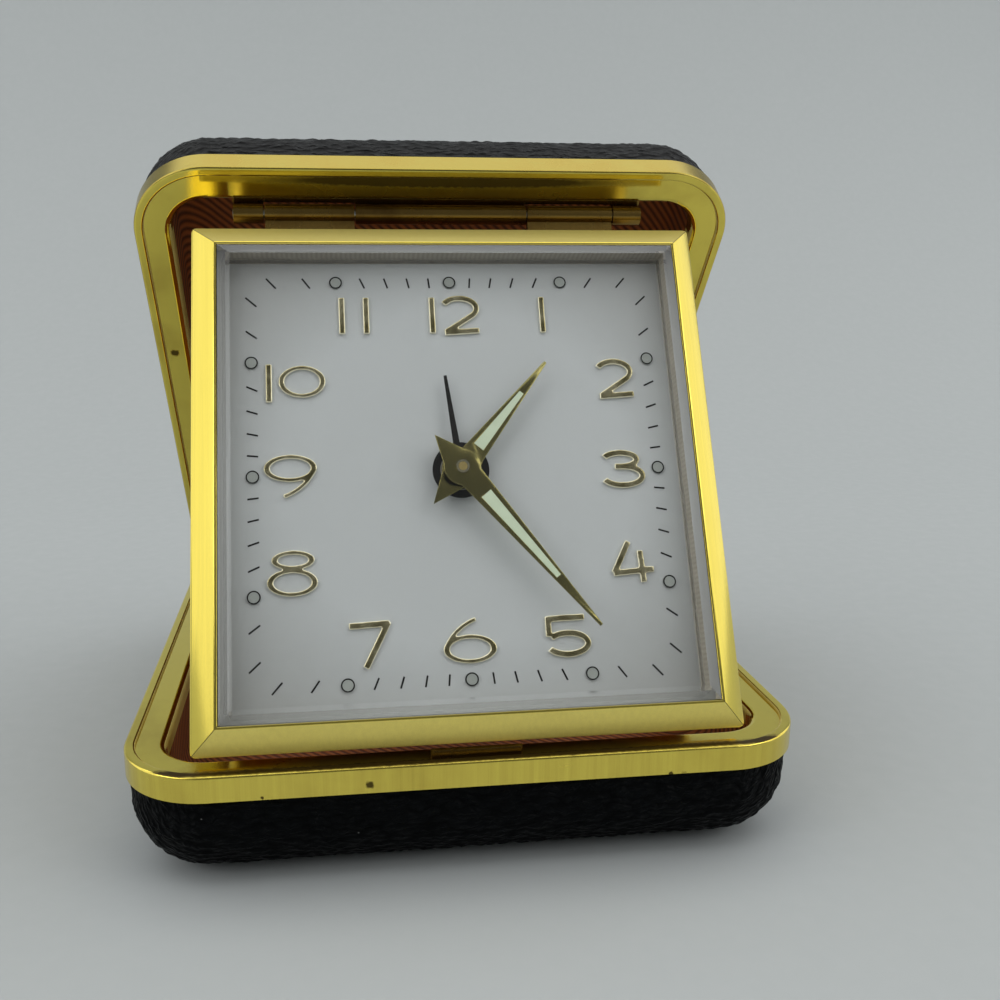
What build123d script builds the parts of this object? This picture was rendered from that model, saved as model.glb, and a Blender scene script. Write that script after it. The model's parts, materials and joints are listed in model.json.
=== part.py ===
"""Folding travel alarm clock, open on its own easel.

A base tray lies flat, a lid tray is hinged at its rear and leans forward, and the square clock
hangs from the lid's front edge with its foot just over the base's front strip.
Millimetres, +Z up, the front is at -Y, and the origin is the middle of the base's underside.
"""
import os
from math import acos, atan2, cos, hypot, radians, sin, sqrt

from build123d import *

# Case halves
case_width = 76.0
case_depth = 78.0
corner_radius = 9.6
base_height = 14.0
lid_height = 13.5
band_height = 2.9
band_thickness = 1.2
lip_height = 0.4
lip_round = 0.3
flange_thickness = 0.6
side_strip = 4.5
front_strip = 4.7
rear_strip = 4.7
opening_corner = 5.0
flange_roll = 0.8
skirt_thickness = 0.9
skirt_depth = 2.0
leather_inset = 0.4
leather_thickness = 0.9
leather_step = 0.8
tray_thickness = 0.6
lining_thickness = 0.7
glue_gap = 0.05
lining_gap = 0.15

# Hinges of the case and of the clock
hinge_offset = 0.2
case_hinge_length = 40.0
clock_hinge_length = 51.4
lug_inner = 10.8
lug_outer = 21.9
knuckle_radius = 1.2
pin_radius = 0.6
pin_clearance = 0.03
knuckle_gap = 0.2
leaf_thickness = 0.6
leaf_reach = 3.6
barrel_gap = 0.4
notch_gap = 0.3
catch_width = 10.0
catch_thickness = 0.5
catch_rise = 1.0
catch_setback = 2.0

# Clock on its easel
clock_side = 60.2
lug_rise = 4.34
axis_back = 4.41
foot_setback = 2.33
foot_gap = 1.0
lug_thickness = 0.8
lug_foot = 5.5

# Bezel, crystal and dial
bezel_opening = 54.1
bezel_rise = 2.17
bezel_land = 0.3
bezel_skirt = 1.6
bezel_corner = 0.7
pocket_side = 55.2
shoulder_drop = 0.25
crystal_gap = 0.1
crystal_wall = 1.1
crystal_plate = 0.9
crystal_rise = 1.0
crystal_bevel = 1.5
crystal_foot = 0.65
dial_drop = 0.98
dial_thickness = 0.4
dial_gap = 0.2
dial_foot_radius = 0.8
dial_foot_place = 22.5
numeral_height = 5.0
numeral_stroke = 0.75
numeral_hairline = 0.5
numeral_thickness = 0.35
numeral_row = 19.2
numeral_column = 11.0
track_half = 23.4
dot_radius = 0.75
dot_thickness = 0.15
seat_gap = 0.02

# Hands
minute_length = 23.3
minute_tail = 4.8
minute_root = 3.1
minute_root_width = 2.7
minute_hub = 2.1
minute_angle = 141.9
hour_length = 16.4
hour_tail = 5.3
hour_root = 2.2
hour_root_width = 2.7
hour_hub = 2.2
hour_angle = 40.1
hub_spread = 45.0
tip_width = 0.35
inlay_rim = 0.6
minute_inlay_start = 4.0
minute_inlay_end = 16.2
hour_inlay_start = 3.2
hour_inlay_end = 11.6
alarm_length = 11.4
alarm_width = 0.9
alarm_disc = 3.25
alarm_angle = -6.2
hand_thickness = 0.2
alarm_level = 0.0
hour_level = 0.8
minute_level = 1.5
nut_radius = 0.75
nut_thickness = 0.25

# Movement case and plates, measured back from the bezel's front edge
body_side = 54.0
body_corner = 3.0
body_wall = 0.6
body_back = 11.5
cover_thickness = 0.8
plate_side = 50.0
plate_corner = 4.0
plate_thickness = 1.0
front_plate_face = 4.0
rear_plate_face = 9.5
pillar_place = 21.0
pillar_radius = 1.6
neck_radius = 1.0
screw_radius = 0.5
screw_hole_depth = 1.5
screw_head_radius = 1.5
screw_head = 0.6
shaft_clearance = 0.04
cover_clearance = 0.2
mesh_gap = 0.15

# Wheels and arbors
pivot_radius = 0.5
arbor_radius = 0.8
arbor_tip_radius = 0.5
tooth_height = 0.5
centre_wheel_tip = 7.0
centre_pinion_tip = 1.5
wheel_thickness = 0.45
pinion_length = 1.1
wheel_gap = 0.25
barrel_tip = 10.0
barrel_drum = 8.8
barrel_height = 3.0
barrel_wall = 0.5
barrel_side_step = 10.6
key_arbor_radius = 1.4
third_wheel_tip = 6.4
third_pinion_tip = 1.2
escape_wheel_tip = 4.5
escape_pinion_tip = 1.1
escape_bearing = -150.0
escape_depth = 7.2
balance_place = (8.0, -16.0)
balance_radius = 5.6
balance_rim = 0.8
balance_arm = 1.0
roller_radius = 1.0
pallet_place = (-2.0, -16.5)
pallet_hub = 1.0
pallet_arm = 7.6
pallet_width = 0.8
hairspring_inner = 1.2
hairspring_pitch = 0.55
hairspring_wire = 0.15
hairspring_turns = 4
hammer_place = (-3.0, 18.0)
hammer_arm = 14.0
hammer_head = 1.5
hammer_width = 1.2
hammer_thickness = 0.9

# Motion work between the front plate and the dial
cannon_radius = 1.15
cannon_pinion_tip = 1.5
hour_pipe_radius = 1.6
hour_wheel_tip = 4.4
alarm_pipe_radius = 2.05
alarm_wheel_tip = 6.0
pipe_clearance = 0.05
alarm_pinion_tip = 2.4
minute_wheel_tip = 4.2
minute_pinion_tip = 1.3
minute_wheel_bearing = 200.0
motion_wheel = 0.45
dial_hole_clearance = 0.15

# Controls on the back
knob_radius = 3.8
alarm_knob_radius = 3.2
knob_height = 2.2
knob_gap = 0.5
knob_rib = 0.4
key_wing = 4.6
key_wing_thickness = 1.2
key_hub_radius = 2.0
key_hub = 0.8
key_height = 2.3
button_place = (7.0, 18.5)
button_radius = 1.6
button_flange = 2.2
button_rise = 2.4
regulator_reach = 6.0
regulator_ring = 1.8
regulator_bush = 0.8
regulator_tab = 0.8
regulator_rise = 0.7
regulator_swing = 10.0

overrun = 5.0

# Counts and shares
dial_hours = 12
wheel_teeth = 40
pinion_teeth = 8
barrel_teeth = 60
cannon_teeth = 10
minute_wheel_teeth = 30
hour_wheel_teeth = 32
alarm_pinion_teeth = 16
escape_teeth = 15
knob_ribs = 24
wheel_windows = 4
window_share = 0.55
window_radius_share = 0.22
tooth_width_share = 0.5

leather_round = corner_radius - leather_inset - leather_step

# Easel: the triangle from the case hinge to the clock hinge and to the clock's foot
hinge_y = case_depth / 2 + hinge_offset
apex_reach = case_depth + hinge_offset - front_strip - knuckle_radius - barrel_gap
foot_run = hinge_y + case_depth / 2 - foot_setback
foot_reach = hypot(foot_run, foot_gap)
clock_reach = hypot(clock_side + lug_rise, axis_back)
hinge_corner = acos((apex_reach**2 + foot_reach**2 - clock_reach**2) / (2 * apex_reach * foot_reach))
lid_tilt = hinge_corner + atan2(foot_gap, foot_run)
apex_y = hinge_y - apex_reach * cos(lid_tilt)
apex_z = base_height + apex_reach * sin(lid_tilt)
foot_y = -case_depth / 2 + foot_setback
foot_z = base_height + foot_gap
clock_lean = atan2(apex_y - foot_y, apex_z - foot_z) - atan2(axis_back, clock_side + lug_rise)

# Planes: each case half has its mouth facing +Z of its own plane, and the clock faces its +Z
base_mouth = Plane(origin=(0, 0, base_height))
lid_mouth = Plane(
    origin=(
        0,
        hinge_y - hinge_y * cos(lid_tilt),
        base_height + hinge_y * sin(lid_tilt),
    ),
    x_dir=(1, 0, 0),
    z_dir=(0, -sin(lid_tilt), -cos(lid_tilt)),
)
clock_face = Plane(
    origin=(
        0,
        foot_y + clock_side / 2 * sin(clock_lean),
        foot_z + clock_side / 2 * cos(clock_lean),
    ),
    x_dir=(1, 0, 0),
    z_dir=(0, -cos(clock_lean), sin(clock_lean)),
)

# Sections across the two hinges, looking along X, with the plane's own Y along the mouth's Z
case_axis = Plane(origin=(0, hinge_y, base_height), x_dir=(0, 1, 0), z_dir=(1, 0, 0))
lid_rear_axis = Plane(
    origin=(0, hinge_y, base_height), x_dir=tuple(lid_mouth.y_dir), z_dir=(1, 0, 0)
)
lid_front_axis = Plane(
    origin=(0, apex_y, apex_z), x_dir=tuple(lid_mouth.y_dir), z_dir=(1, 0, 0)
)
clock_axis = Plane(
    origin=(0, apex_y, apex_z), x_dir=tuple(clock_face.y_dir), z_dir=(1, 0, 0)
)

os.makedirs("parts", exist_ok=True)


def keep(part, name):
    """Label a finished piece and write it under its own name."""
    part.label = name
    export_step(part, f"parts/{name}.step")


def tray_block(mouth, inset, top, bottom, edge):
    """Solid of one case half between two depths, its floor edge rounded."""
    with BuildPart() as block:
        with BuildSketch(mouth.offset(-bottom)):
            RectangleRounded(case_width - 2 * inset, case_depth - 2 * inset, corner_radius - inset)
        extrude(amount=bottom - top)
        floor_edges = block.edges().group_by(Axis(mouth.origin, mouth.z_dir))[0]
        fillet(floor_edges, edge)
    return block.part


def tray_shell(mouth, inset, top, bottom, edge, wall):
    """Open tray with an even wall."""
    with BuildPart() as shell:
        add(tray_block(mouth, inset, top, bottom, edge))
        add(tray_block(mouth, inset + wall, top - overrun, bottom - wall, edge - wall), mode=Mode.SUBTRACT)
    return shell.part


def steel_tray(mouth, front, height):
    """Pressed tray under the skin, notched where the rear hinge leaf enters it."""
    inset = leather_inset + leather_thickness + glue_gap
    top = lip_height + flange_thickness + glue_gap
    bottom = height - leather_thickness - glue_gap
    edge = leather_round - leather_thickness - glue_gap
    with BuildPart() as tray:
        add(tray_shell(mouth, inset, top, bottom, edge, tray_thickness))
        with BuildSketch(mouth.offset(-top)):
            with Locations((0, -front * (case_depth / 2 - inset))):
                Rectangle(case_hinge_length + 2 * notch_gap, 2 * tray_thickness + 2 * notch_gap)
        extrude(amount=-leaf_thickness - notch_gap, mode=Mode.SUBTRACT)
    return tray.part


def opening_outline(front, grow, mode):
    """Mouth opening of a case half; front is -1 or 1 for the side its front strip is on."""
    with Locations((0, front * (rear_strip - front_strip) / 2)):
        RectangleRounded(
            case_width - 2 * side_strip + 2 * grow,
            case_depth - front_strip - rear_strip + 2 * grow,
            opening_corner + grow,
            mode=mode,
        )


leaf_top = lip_height + flange_thickness + glue_gap
leaf_bottom = leaf_top + leaf_thickness
leaf_clear = sqrt((knuckle_radius + knuckle_gap) ** 2 - leaf_top**2)


def rim(mouth, front, leaf_length):
    """Brass frame of a case half: band, lip, flat flange, rolled opening edge and hinge notches."""
    band_middle_y = case_depth / 2 - band_thickness / 2
    notch_depth = band_thickness + overrun
    with BuildPart() as frame:
        with BuildSketch(mouth):
            RectangleRounded(case_width, case_depth, corner_radius)
            RectangleRounded(
                case_width - 2 * band_thickness,
                case_depth - 2 * band_thickness,
                corner_radius - band_thickness,
                mode=Mode.SUBTRACT,
            )
        extrude(amount=-band_height)
        fillet(frame.edges().group_by(Axis(mouth.origin, mouth.z_dir))[-1], lip_round)
        with BuildSketch(mouth.offset(-lip_height)):
            RectangleRounded(
                case_width - band_thickness, case_depth - band_thickness, corner_radius - band_thickness / 2
            )
            opening_outline(front, 0, Mode.SUBTRACT)
        extrude(amount=-flange_thickness)
        with BuildSketch(mouth.offset(-lip_height)):
            opening_outline(front, skirt_thickness, Mode.ADD)
            opening_outline(front, 0, Mode.SUBTRACT)
        extrude(amount=-skirt_depth)
        flat = frame.faces().filter_by(Axis(mouth.origin, mouth.z_dir)).sort_by(SortBy.AREA)[-1]
        fillet(flat.inner_wires()[0].edges(), flange_roll)
        with BuildSketch(mouth):
            with Locations((0, -front * (band_middle_y + overrun / 2))):
                Rectangle(case_hinge_length + 2 * notch_gap, notch_depth)
        extrude(amount=-leaf_bottom - notch_gap, mode=Mode.SUBTRACT)
        if leaf_length:
            with BuildSketch(mouth.offset(-leaf_top + glue_gap)):
                with Locations((0, front * (case_depth / 2 - front_strip))):
                    Rectangle(leaf_length + 2 * notch_gap, 2 * skirt_thickness + 2 * notch_gap)
            extrude(amount=-skirt_depth, mode=Mode.SUBTRACT)
    return frame.part


def lining(mouth, front, height):
    """Cloth-covered card tray under the flange."""
    top = lip_height + skirt_depth + glue_gap
    bottom = height - leather_thickness - tray_thickness - glue_gap - lining_gap
    with BuildPart() as card:
        with BuildSketch(mouth.offset(-bottom)):
            opening_outline(front, lining_thickness, Mode.ADD)
        extrude(amount=bottom - top)
        fillet(card.edges().group_by(Axis(mouth.origin, mouth.z_dir))[0], opening_corner - lining_gap)
        top_face = card.faces().sort_by(Axis(mouth.origin, mouth.z_dir))[-1]
        offset(amount=-lining_thickness, openings=top_face)
    return card.part


def knuckle_spans(edges):
    """Stretches between neighbouring edges, drawn in by half the knuckle gap at each end."""
    return [(a + knuckle_gap / 2, b - knuckle_gap / 2) for a, b in zip(edges, edges[1:])]


def case_leaf(section, inward, length, spans):
    """Hinge leaf under a flange, with knuckles over the given stretches of the axis."""
    plate_middle = -(leaf_top + leaf_thickness / 2)
    with BuildPart() as leaf:
        with BuildSketch(section.offset(-length / 2)):
            with Locations((inward * (leaf_clear + leaf_reach) / 2, plate_middle)):
                Rectangle(leaf_reach - leaf_clear, leaf_thickness)
        extrude(amount=length)
        for start, end in spans:
            with BuildSketch(section.offset(start)):
                Circle(knuckle_radius)
                with Locations((inward * leaf_clear, plate_middle)):
                    Rectangle(2 * leaf_clear, leaf_thickness)
            extrude(amount=end - start)
        with BuildSketch(section.offset(-length / 2 - overrun)):
            Circle(pin_radius + pin_clearance)
        extrude(amount=length + 2 * overrun, mode=Mode.SUBTRACT)
    return leaf.part


def hinge_pin(section, length):
    """Plain round pin along a hinge axis."""
    with BuildPart() as pin:
        with BuildSketch(section.offset(-length / 2)):
            Circle(pin_radius)
        extrude(amount=length)
    return pin.part


# Case halves: skin, tray, brass frame and lining
halves = (("base", base_mouth, -1, base_height, 0), ("lid", lid_mouth, 1, lid_height, clock_hinge_length))
for half, mouth, front, height, front_leaf in halves:
    skin = tray_shell(mouth, leather_inset, band_height + glue_gap, height, leather_round, leather_thickness)
    keep(skin, f"{half}_leather")
    keep(steel_tray(mouth, front, height), f"{half}_tray")
    keep(rim(mouth, front, front_leaf), f"{half}_rim")
    keep(lining(mouth, front, height), f"{half}_lining")

# Rear hinge: three knuckles on the base, two on the lid
case_pitch = case_hinge_length / 5
case_spans = knuckle_spans([-case_hinge_length / 2 + index * case_pitch for index in range(6)])
keep(case_leaf(case_axis, -1, case_hinge_length, case_spans[0::2]), "base_hinge_leaf")
keep(case_leaf(lid_rear_axis, 1, case_hinge_length, case_spans[1::2]), "lid_hinge_leaf")
keep(hinge_pin(case_axis, case_hinge_length), "case_hinge_pin")

# Front hinge: three knuckles on the lid, two lugs on the clock
clock_edges = [-clock_hinge_length / 2, -lug_outer, -lug_inner, lug_inner, lug_outer, clock_hinge_length / 2]
clock_spans = knuckle_spans(clock_edges)
keep(case_leaf(lid_front_axis, 1, clock_hinge_length, clock_spans[0::2]), "clock_hinge_leaf")
keep(hinge_pin(lid_front_axis, clock_hinge_length), "clock_hinge_pin")

lug_drop = clock_side / 2 + lug_rise - body_side / 2 - seat_gap
with BuildPart() as lugs:
    for start, end in clock_spans[1::2]:
        with BuildSketch(clock_axis.offset(start)):
            Circle(knuckle_radius)
            with Locations((-lug_drop / 2, 0)):
                Rectangle(lug_drop, lug_thickness)
            with Locations((-lug_drop + lug_thickness / 2, -lug_foot / 2)):
                Rectangle(lug_thickness, lug_foot + lug_thickness)
        extrude(amount=end - start)
    with BuildSketch(clock_axis.offset(-clock_hinge_length)):
        Circle(pin_radius + pin_clearance)
    extrude(amount=2 * clock_hinge_length, mode=Mode.SUBTRACT)
keep(lugs.part, "clock_hinge_lugs")

# Catch tongue standing on the middle of the base's front strip
with BuildPart() as catch:
    with BuildSketch(base_mouth.offset(-lip_height + seat_gap)):
        with Locations((0, -case_depth / 2 + catch_setback)):
            SlotOverall(catch_width, catch_thickness)
    extrude(amount=catch_rise)
keep(catch.part, "case_catch")

# Bezel: mitred sloping frame on a short skirt, with a pocket behind for crystal and dial
with BuildPart() as bezel:
    with BuildSketch(clock_face):
        Rectangle(clock_side, clock_side)
    with BuildSketch(clock_face.offset(bezel_rise)):
        Rectangle(bezel_opening + 2 * bezel_land, bezel_opening + 2 * bezel_land)
    loft()
    with BuildSketch(clock_face):
        Rectangle(clock_side, clock_side)
    extrude(amount=-bezel_skirt)
    fillet(bezel.edges().filter_by(Axis(clock_face.origin, clock_face.z_dir)), bezel_corner)
    with BuildSketch(clock_face.offset(bezel_rise)):
        Rectangle(bezel_opening, bezel_opening)
    extrude(amount=-bezel_rise - overrun, mode=Mode.SUBTRACT)
    with BuildSketch(clock_face.offset(-shoulder_drop)):
        Rectangle(pocket_side, pocket_side)
    extrude(amount=-overrun, mode=Mode.SUBTRACT)
keep(bezel.part, "bezel")

# Crystal: clear box with a bevelled top, its foot held under the bezel's shoulder
crystal_side = bezel_opening - 2 * crystal_gap
crystal_top = bezel_rise + crystal_rise
dial_face = clock_face.offset(-dial_drop)
with BuildPart() as crystal:
    with BuildSketch(dial_face.offset(seat_gap)):
        Rectangle(pocket_side - 2 * dial_gap, pocket_side - 2 * dial_gap)
    extrude(amount=crystal_foot)
    with BuildSketch(dial_face.offset(seat_gap)):
        Rectangle(crystal_side, crystal_side)
    extrude(amount=dial_drop + bezel_rise - seat_gap)
    with BuildSketch(clock_face.offset(bezel_rise)):
        Rectangle(crystal_side, crystal_side)
    with BuildSketch(clock_face.offset(crystal_top)):
        Rectangle(crystal_side - 2 * crystal_bevel, crystal_side - 2 * crystal_bevel)
    loft()
    with BuildSketch(dial_face.offset(seat_gap)):
        Rectangle(crystal_side - 2 * crystal_wall, crystal_side - 2 * crystal_wall)
    extrude(amount=dial_drop + crystal_top - crystal_plate - seat_gap, mode=Mode.SUBTRACT)
keep(crystal.part, "crystal")

# Dial plate with its two feet on the front plate
dial_side = pocket_side - 2 * dial_gap
with BuildPart() as dial:
    with BuildSketch(dial_face):
        Rectangle(dial_side, dial_side)
        Circle(alarm_pipe_radius + dial_hole_clearance, mode=Mode.SUBTRACT)
    extrude(amount=-dial_thickness)
    with BuildSketch(dial_face.offset(-dial_thickness)):
        with Locations((-dial_foot_place, 0), (dial_foot_place, 0)):
            Circle(dial_foot_radius)
    extrude(amount=-(front_plate_face - dial_drop - dial_thickness))
keep(dial.part, "dial")

# Applied hour numerals. Points are shares of the numeral's height, from the middle of the digit
oval_shares = {
    "0": [(0.0, 0.03, 0.58, 0.39)],
    "6": [(0.0, -0.18, 0.6, 0.32)],
    "8": [(0.02, 0.29, 0.48, 0.22), (0.0, -0.21, 0.56, 0.31)],
    "9": [(0.0, 0.18, 0.6, 0.32)],
}
line_shares = {
    "1": [((0.0, -0.46), (0.0, 0.46))],
    "2": [((0.32, 0.02), (-0.37, -0.43)), ((-0.4, -0.44), (0.44, -0.39))],
    "3": [((-0.2, 0.035), (0.02, 0.035))],
    "4": [((-0.05, 0.46), (-0.44, -0.26)), ((-0.46, -0.27), (0.5, -0.2)), ((0.2, 0.24), (0.24, -0.5))],
    "5": [((-0.42, 0.4), (0.42, 0.42)), ((-0.42, 0.46), (-0.42, 0.0))],
    "7": [((-0.45, 0.42), (0.45, 0.46)), ((0.43, 0.5), (-0.1, -0.5))],
}
arc_shares = {
    "6": [((-0.53, -0.12), (-0.25, 0.24), (0.16, 0.47))],
    "9": [((0.53, 0.12), (0.25, -0.24), (-0.16, -0.47))],
}
# Bowls are parts of ovals: middle, half width, half height, then the start angle and the turn
bowl_shares = {
    "2": [(-0.02, 0.17, 0.41, 0.26, -35, 190)],
    "3": [(-0.06, 0.2, 0.4, 0.165, -90, 250), (-0.02, -0.19, 0.47, 0.225, -160, 250)],
    "5": [(0.0, -0.16, 0.46, 0.235, -155, 300)],
}
pair_step_share = 0.45
one_step_share = 0.38
hour_places = {
    12: (0, 1), 1: (1, 1), 2: (2, 1), 3: (2, 0), 4: (2, -1), 5: (1, -1),
    6: (0, -1), 7: (-1, -1), 8: (-2, -1), 9: (-2, 0), 10: (-2, 1), 11: (-1, 1),
}


def numeral_centre(hour):
    """Middle of an hour's numeral on the square chapter."""
    across, up = hour_places[hour]
    column = {0: 0, 1: numeral_column, 2: numeral_row}[abs(across)]
    row = numeral_row if abs(across) < 2 else numeral_column
    return (column * (1 if across > 0 else -1), row * up)


def draw_digit(digit, middle):
    """Add one digit's strokes to the sketch being made."""

    def place(point):
        return (middle[0] + point[0] * numeral_height, middle[1] + point[1] * numeral_height)

    for across, up, wide, tall in oval_shares.get(digit, []):
        with Locations(place((across, up))):
            Ellipse(wide * numeral_height, tall * numeral_height)
    for across, up, wide, tall in oval_shares.get(digit, []):
        with Locations(place((across, up))):
            Ellipse(
                wide * numeral_height - numeral_stroke,
                tall * numeral_height - numeral_hairline,
                mode=Mode.SUBTRACT,
            )
    for start, end in line_shares.get(digit, []):
        with BuildLine() as stroke:
            Line(place(start), place(end))
        trace(stroke.line, line_width=numeral_stroke)
    for start, middle_point, end in arc_shares.get(digit, []):
        with BuildLine() as stroke:
            ThreePointArc(place(start), place(middle_point), place(end))
        trace(stroke.line, line_width=numeral_hairline)
    for across, up, wide, tall, start, turn in bowl_shares.get(digit, []):
        half_wide = wide * numeral_height
        half_tall = tall * numeral_height
        with BuildLine() as stroke:
            EllipticalCenterArc(place((across, up)), half_wide, half_tall, start, arc_size=turn)
        trace(stroke.line, line_width=numeral_stroke)


with BuildPart() as numerals:
    for hour in hour_places:
        centre = numeral_centre(hour)
        text = str(hour)
        with BuildSketch(dial_face.offset(seat_gap)):
            if len(text) == 1:
                draw_digit(text, centre)
            else:
                step = (one_step_share if text == "11" else pair_step_share) * numeral_height
                draw_digit(text[0], (centre[0] - step, centre[1]))
                draw_digit(text[1], (centre[0] + step / 2, centre[1]))
        extrude(amount=numeral_thickness)
keep(numerals.part, "numerals")

# Luminous hour dots at the true hour angles on a square track
with BuildPart() as dots:
    with BuildSketch(dial_face.offset(seat_gap)):
        for hour in range(dial_hours):
            turn = radians(hour * 360 / dial_hours)
            reach = track_half / max(abs(sin(turn)), abs(cos(turn)))
            with Locations((reach * sin(turn), reach * cos(turn))):
                Circle(dot_radius)
    extrude(amount=dot_thickness)
keep(dots.part, "hour_dots")


def hand(level, length, tail, root, root_width, hub, angle, hole, slot_start, slot_end):
    """Pointed hand with a round hub, a pointed tail and a slot for its luminous inlay."""
    turned = Plane(
        origin=clock_face.offset(level).origin,
        x_dir=tuple(clock_face.x_dir * cos(radians(angle)) - clock_face.y_dir * sin(radians(angle))),
        z_dir=tuple(clock_face.z_dir),
    )

    def half_width(reach):
        share = (reach - root) / (length - root)
        return (root_width + (tip_width - root_width) * share) / 2

    flank = hub * sin(radians(hub_spread))
    shoulder = hub * cos(radians(hub_spread))

    with BuildPart() as blade:
        with BuildSketch(turned):
            Circle(hub)
            with BuildLine():
                Polyline(
                    (-root_width / 2, root), (-tip_width / 2, length), (tip_width / 2, length),
                    (root_width / 2, root), (flank, shoulder), (flank, -shoulder), (0, -tail),
                    (-flank, -shoulder), (-flank, shoulder), close=True,
                )
            make_face()
            Circle(hole, mode=Mode.SUBTRACT)
            with BuildLine():
                Polyline(
                    (-half_width(slot_start) + inlay_rim, slot_start),
                    (-half_width(slot_end) / 2, slot_end),
                    (half_width(slot_end) / 2, slot_end),
                    (half_width(slot_start) - inlay_rim, slot_start), close=True,
                )
            make_face(mode=Mode.SUBTRACT)
        extrude(amount=hand_thickness)
    with BuildPart() as inlay:
        with BuildSketch(turned):
            with BuildLine():
                Polyline(
                    (-half_width(slot_start) + inlay_rim + seat_gap, slot_start + seat_gap),
                    (-half_width(slot_end) / 2 + seat_gap, slot_end - seat_gap),
                    (half_width(slot_end) / 2 - seat_gap, slot_end - seat_gap),
                    (half_width(slot_start) - inlay_rim - seat_gap, slot_start + seat_gap), close=True,
                )
            make_face()
        extrude(amount=hand_thickness - seat_gap)
    return blade.part, inlay.part


minute_blade, minute_glow = hand(
    minute_level, minute_length, minute_tail, minute_root, minute_root_width, minute_hub, minute_angle,
    arbor_tip_radius + shaft_clearance, minute_inlay_start, minute_inlay_end,
)
keep(minute_blade, "minute_hand")
keep(minute_glow, "minute_hand_inlay")
hour_blade, hour_glow = hand(
    hour_level, hour_length, hour_tail, hour_root, hour_root_width, hour_hub, hour_angle,
    hour_pipe_radius + seat_gap, hour_inlay_start, hour_inlay_end,
)
keep(hour_blade, "hour_hand")
keep(hour_glow, "hour_hand_inlay")

alarm_turn = radians(alarm_angle)
with BuildPart() as alarm_hand:
    with BuildSketch(clock_face.offset(alarm_level)):
        Circle(alarm_disc)
        with BuildLine():
            Polyline(
                (-alarm_width / 2 * cos(alarm_turn), alarm_width / 2 * sin(alarm_turn)),
                (
                    alarm_length * sin(alarm_turn) - tip_width / 2 * cos(alarm_turn),
                    alarm_length * cos(alarm_turn) + tip_width / 2 * sin(alarm_turn),
                ),
                (
                    alarm_length * sin(alarm_turn) + tip_width / 2 * cos(alarm_turn),
                    alarm_length * cos(alarm_turn) - tip_width / 2 * sin(alarm_turn),
                ),
                (alarm_width / 2 * cos(alarm_turn), -alarm_width / 2 * sin(alarm_turn)), close=True,
            )
        make_face()
        Circle(alarm_pipe_radius + seat_gap, mode=Mode.SUBTRACT)
    extrude(amount=hand_thickness)
keep(alarm_hand.part, "alarm_hand")

with BuildPart() as hand_nut:
    with BuildSketch(clock_face.offset(minute_level + hand_thickness + seat_gap)):
        Circle(nut_radius)
        Circle(arbor_tip_radius + shaft_clearance, mode=Mode.SUBTRACT)
    extrude(amount=nut_thickness)
keep(hand_nut.part, "hand_nut")

# Movement case and its back cover
case_front = dial_drop + dial_thickness + glue_gap
third_place = (0, -(centre_wheel_tip + third_pinion_tip + mesh_gap))
escape_reach = third_wheel_tip + escape_pinion_tip + mesh_gap
escape_place = (
    third_place[0] + escape_reach * cos(radians(escape_bearing)),
    third_place[1] + escape_reach * sin(radians(escape_bearing)),
)
barrel_reach = barrel_tip + centre_pinion_tip + 2 * mesh_gap
barrel_up = sqrt(barrel_reach**2 - barrel_side_step**2)
going_place = (-barrel_side_step, barrel_up)
alarm_barrel_place = (barrel_side_step, barrel_up)
alarm_set_place = (0, alarm_wheel_tip + alarm_pinion_tip + mesh_gap)
minute_wheel_reach = minute_wheel_tip + cannon_pinion_tip + mesh_gap
minute_wheel_place = (
    minute_wheel_reach * cos(radians(minute_wheel_bearing)),
    minute_wheel_reach * sin(radians(minute_wheel_bearing)),
)
cover_back = body_back + cover_thickness
corners = [(x * pillar_place, y * pillar_place) for x in (-1, 1) for y in (-1, 1)]

with BuildPart() as movement_case:
    with BuildSketch(clock_face.offset(-case_front)):
        RectangleRounded(body_side, body_side, body_corner)
        RectangleRounded(
            body_side - 2 * body_wall, body_side - 2 * body_wall, body_corner - body_wall, mode=Mode.SUBTRACT
        )
    extrude(amount=-(body_back - case_front - seat_gap))
keep(movement_case.part, "movement_case")

regulator_place = (balance_place[0], balance_place[1] - regulator_reach)
with BuildPart() as back_cover:
    with BuildSketch(clock_face.offset(-body_back)):
        RectangleRounded(body_side, body_side, body_corner)
        with Locations(*corners):
            Circle(screw_radius + shaft_clearance, mode=Mode.SUBTRACT)
        with Locations(going_place, alarm_barrel_place):
            Circle(key_arbor_radius + cover_clearance, mode=Mode.SUBTRACT)
        with Locations((0, 0), alarm_set_place):
            Circle(arbor_radius + cover_clearance, mode=Mode.SUBTRACT)
        with Locations(button_place):
            Circle(button_radius + shaft_clearance, mode=Mode.SUBTRACT)
        with Locations(balance_place):
            with PolarLocations(regulator_reach, 1, start_angle=-90):
                Rectangle(
                    regulator_tab + 4 * cover_clearance,
                    2 * regulator_reach * sin(radians(regulator_swing)) + 2 * regulator_tab,
                    mode=Mode.SUBTRACT,
                )
    extrude(amount=-cover_thickness)
keep(back_cover.part, "back_cover")


def plate(face, holes):
    """Movement plate with round holes given as (place, radius)."""
    with BuildPart() as sheet:
        with BuildSketch(clock_face.offset(-face)):
            RectangleRounded(plate_side, plate_side, plate_corner)
            for place, radius in holes:
                with Locations(place):
                    Circle(radius, mode=Mode.SUBTRACT)
        extrude(amount=-plate_thickness)
    return sheet.part


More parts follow.
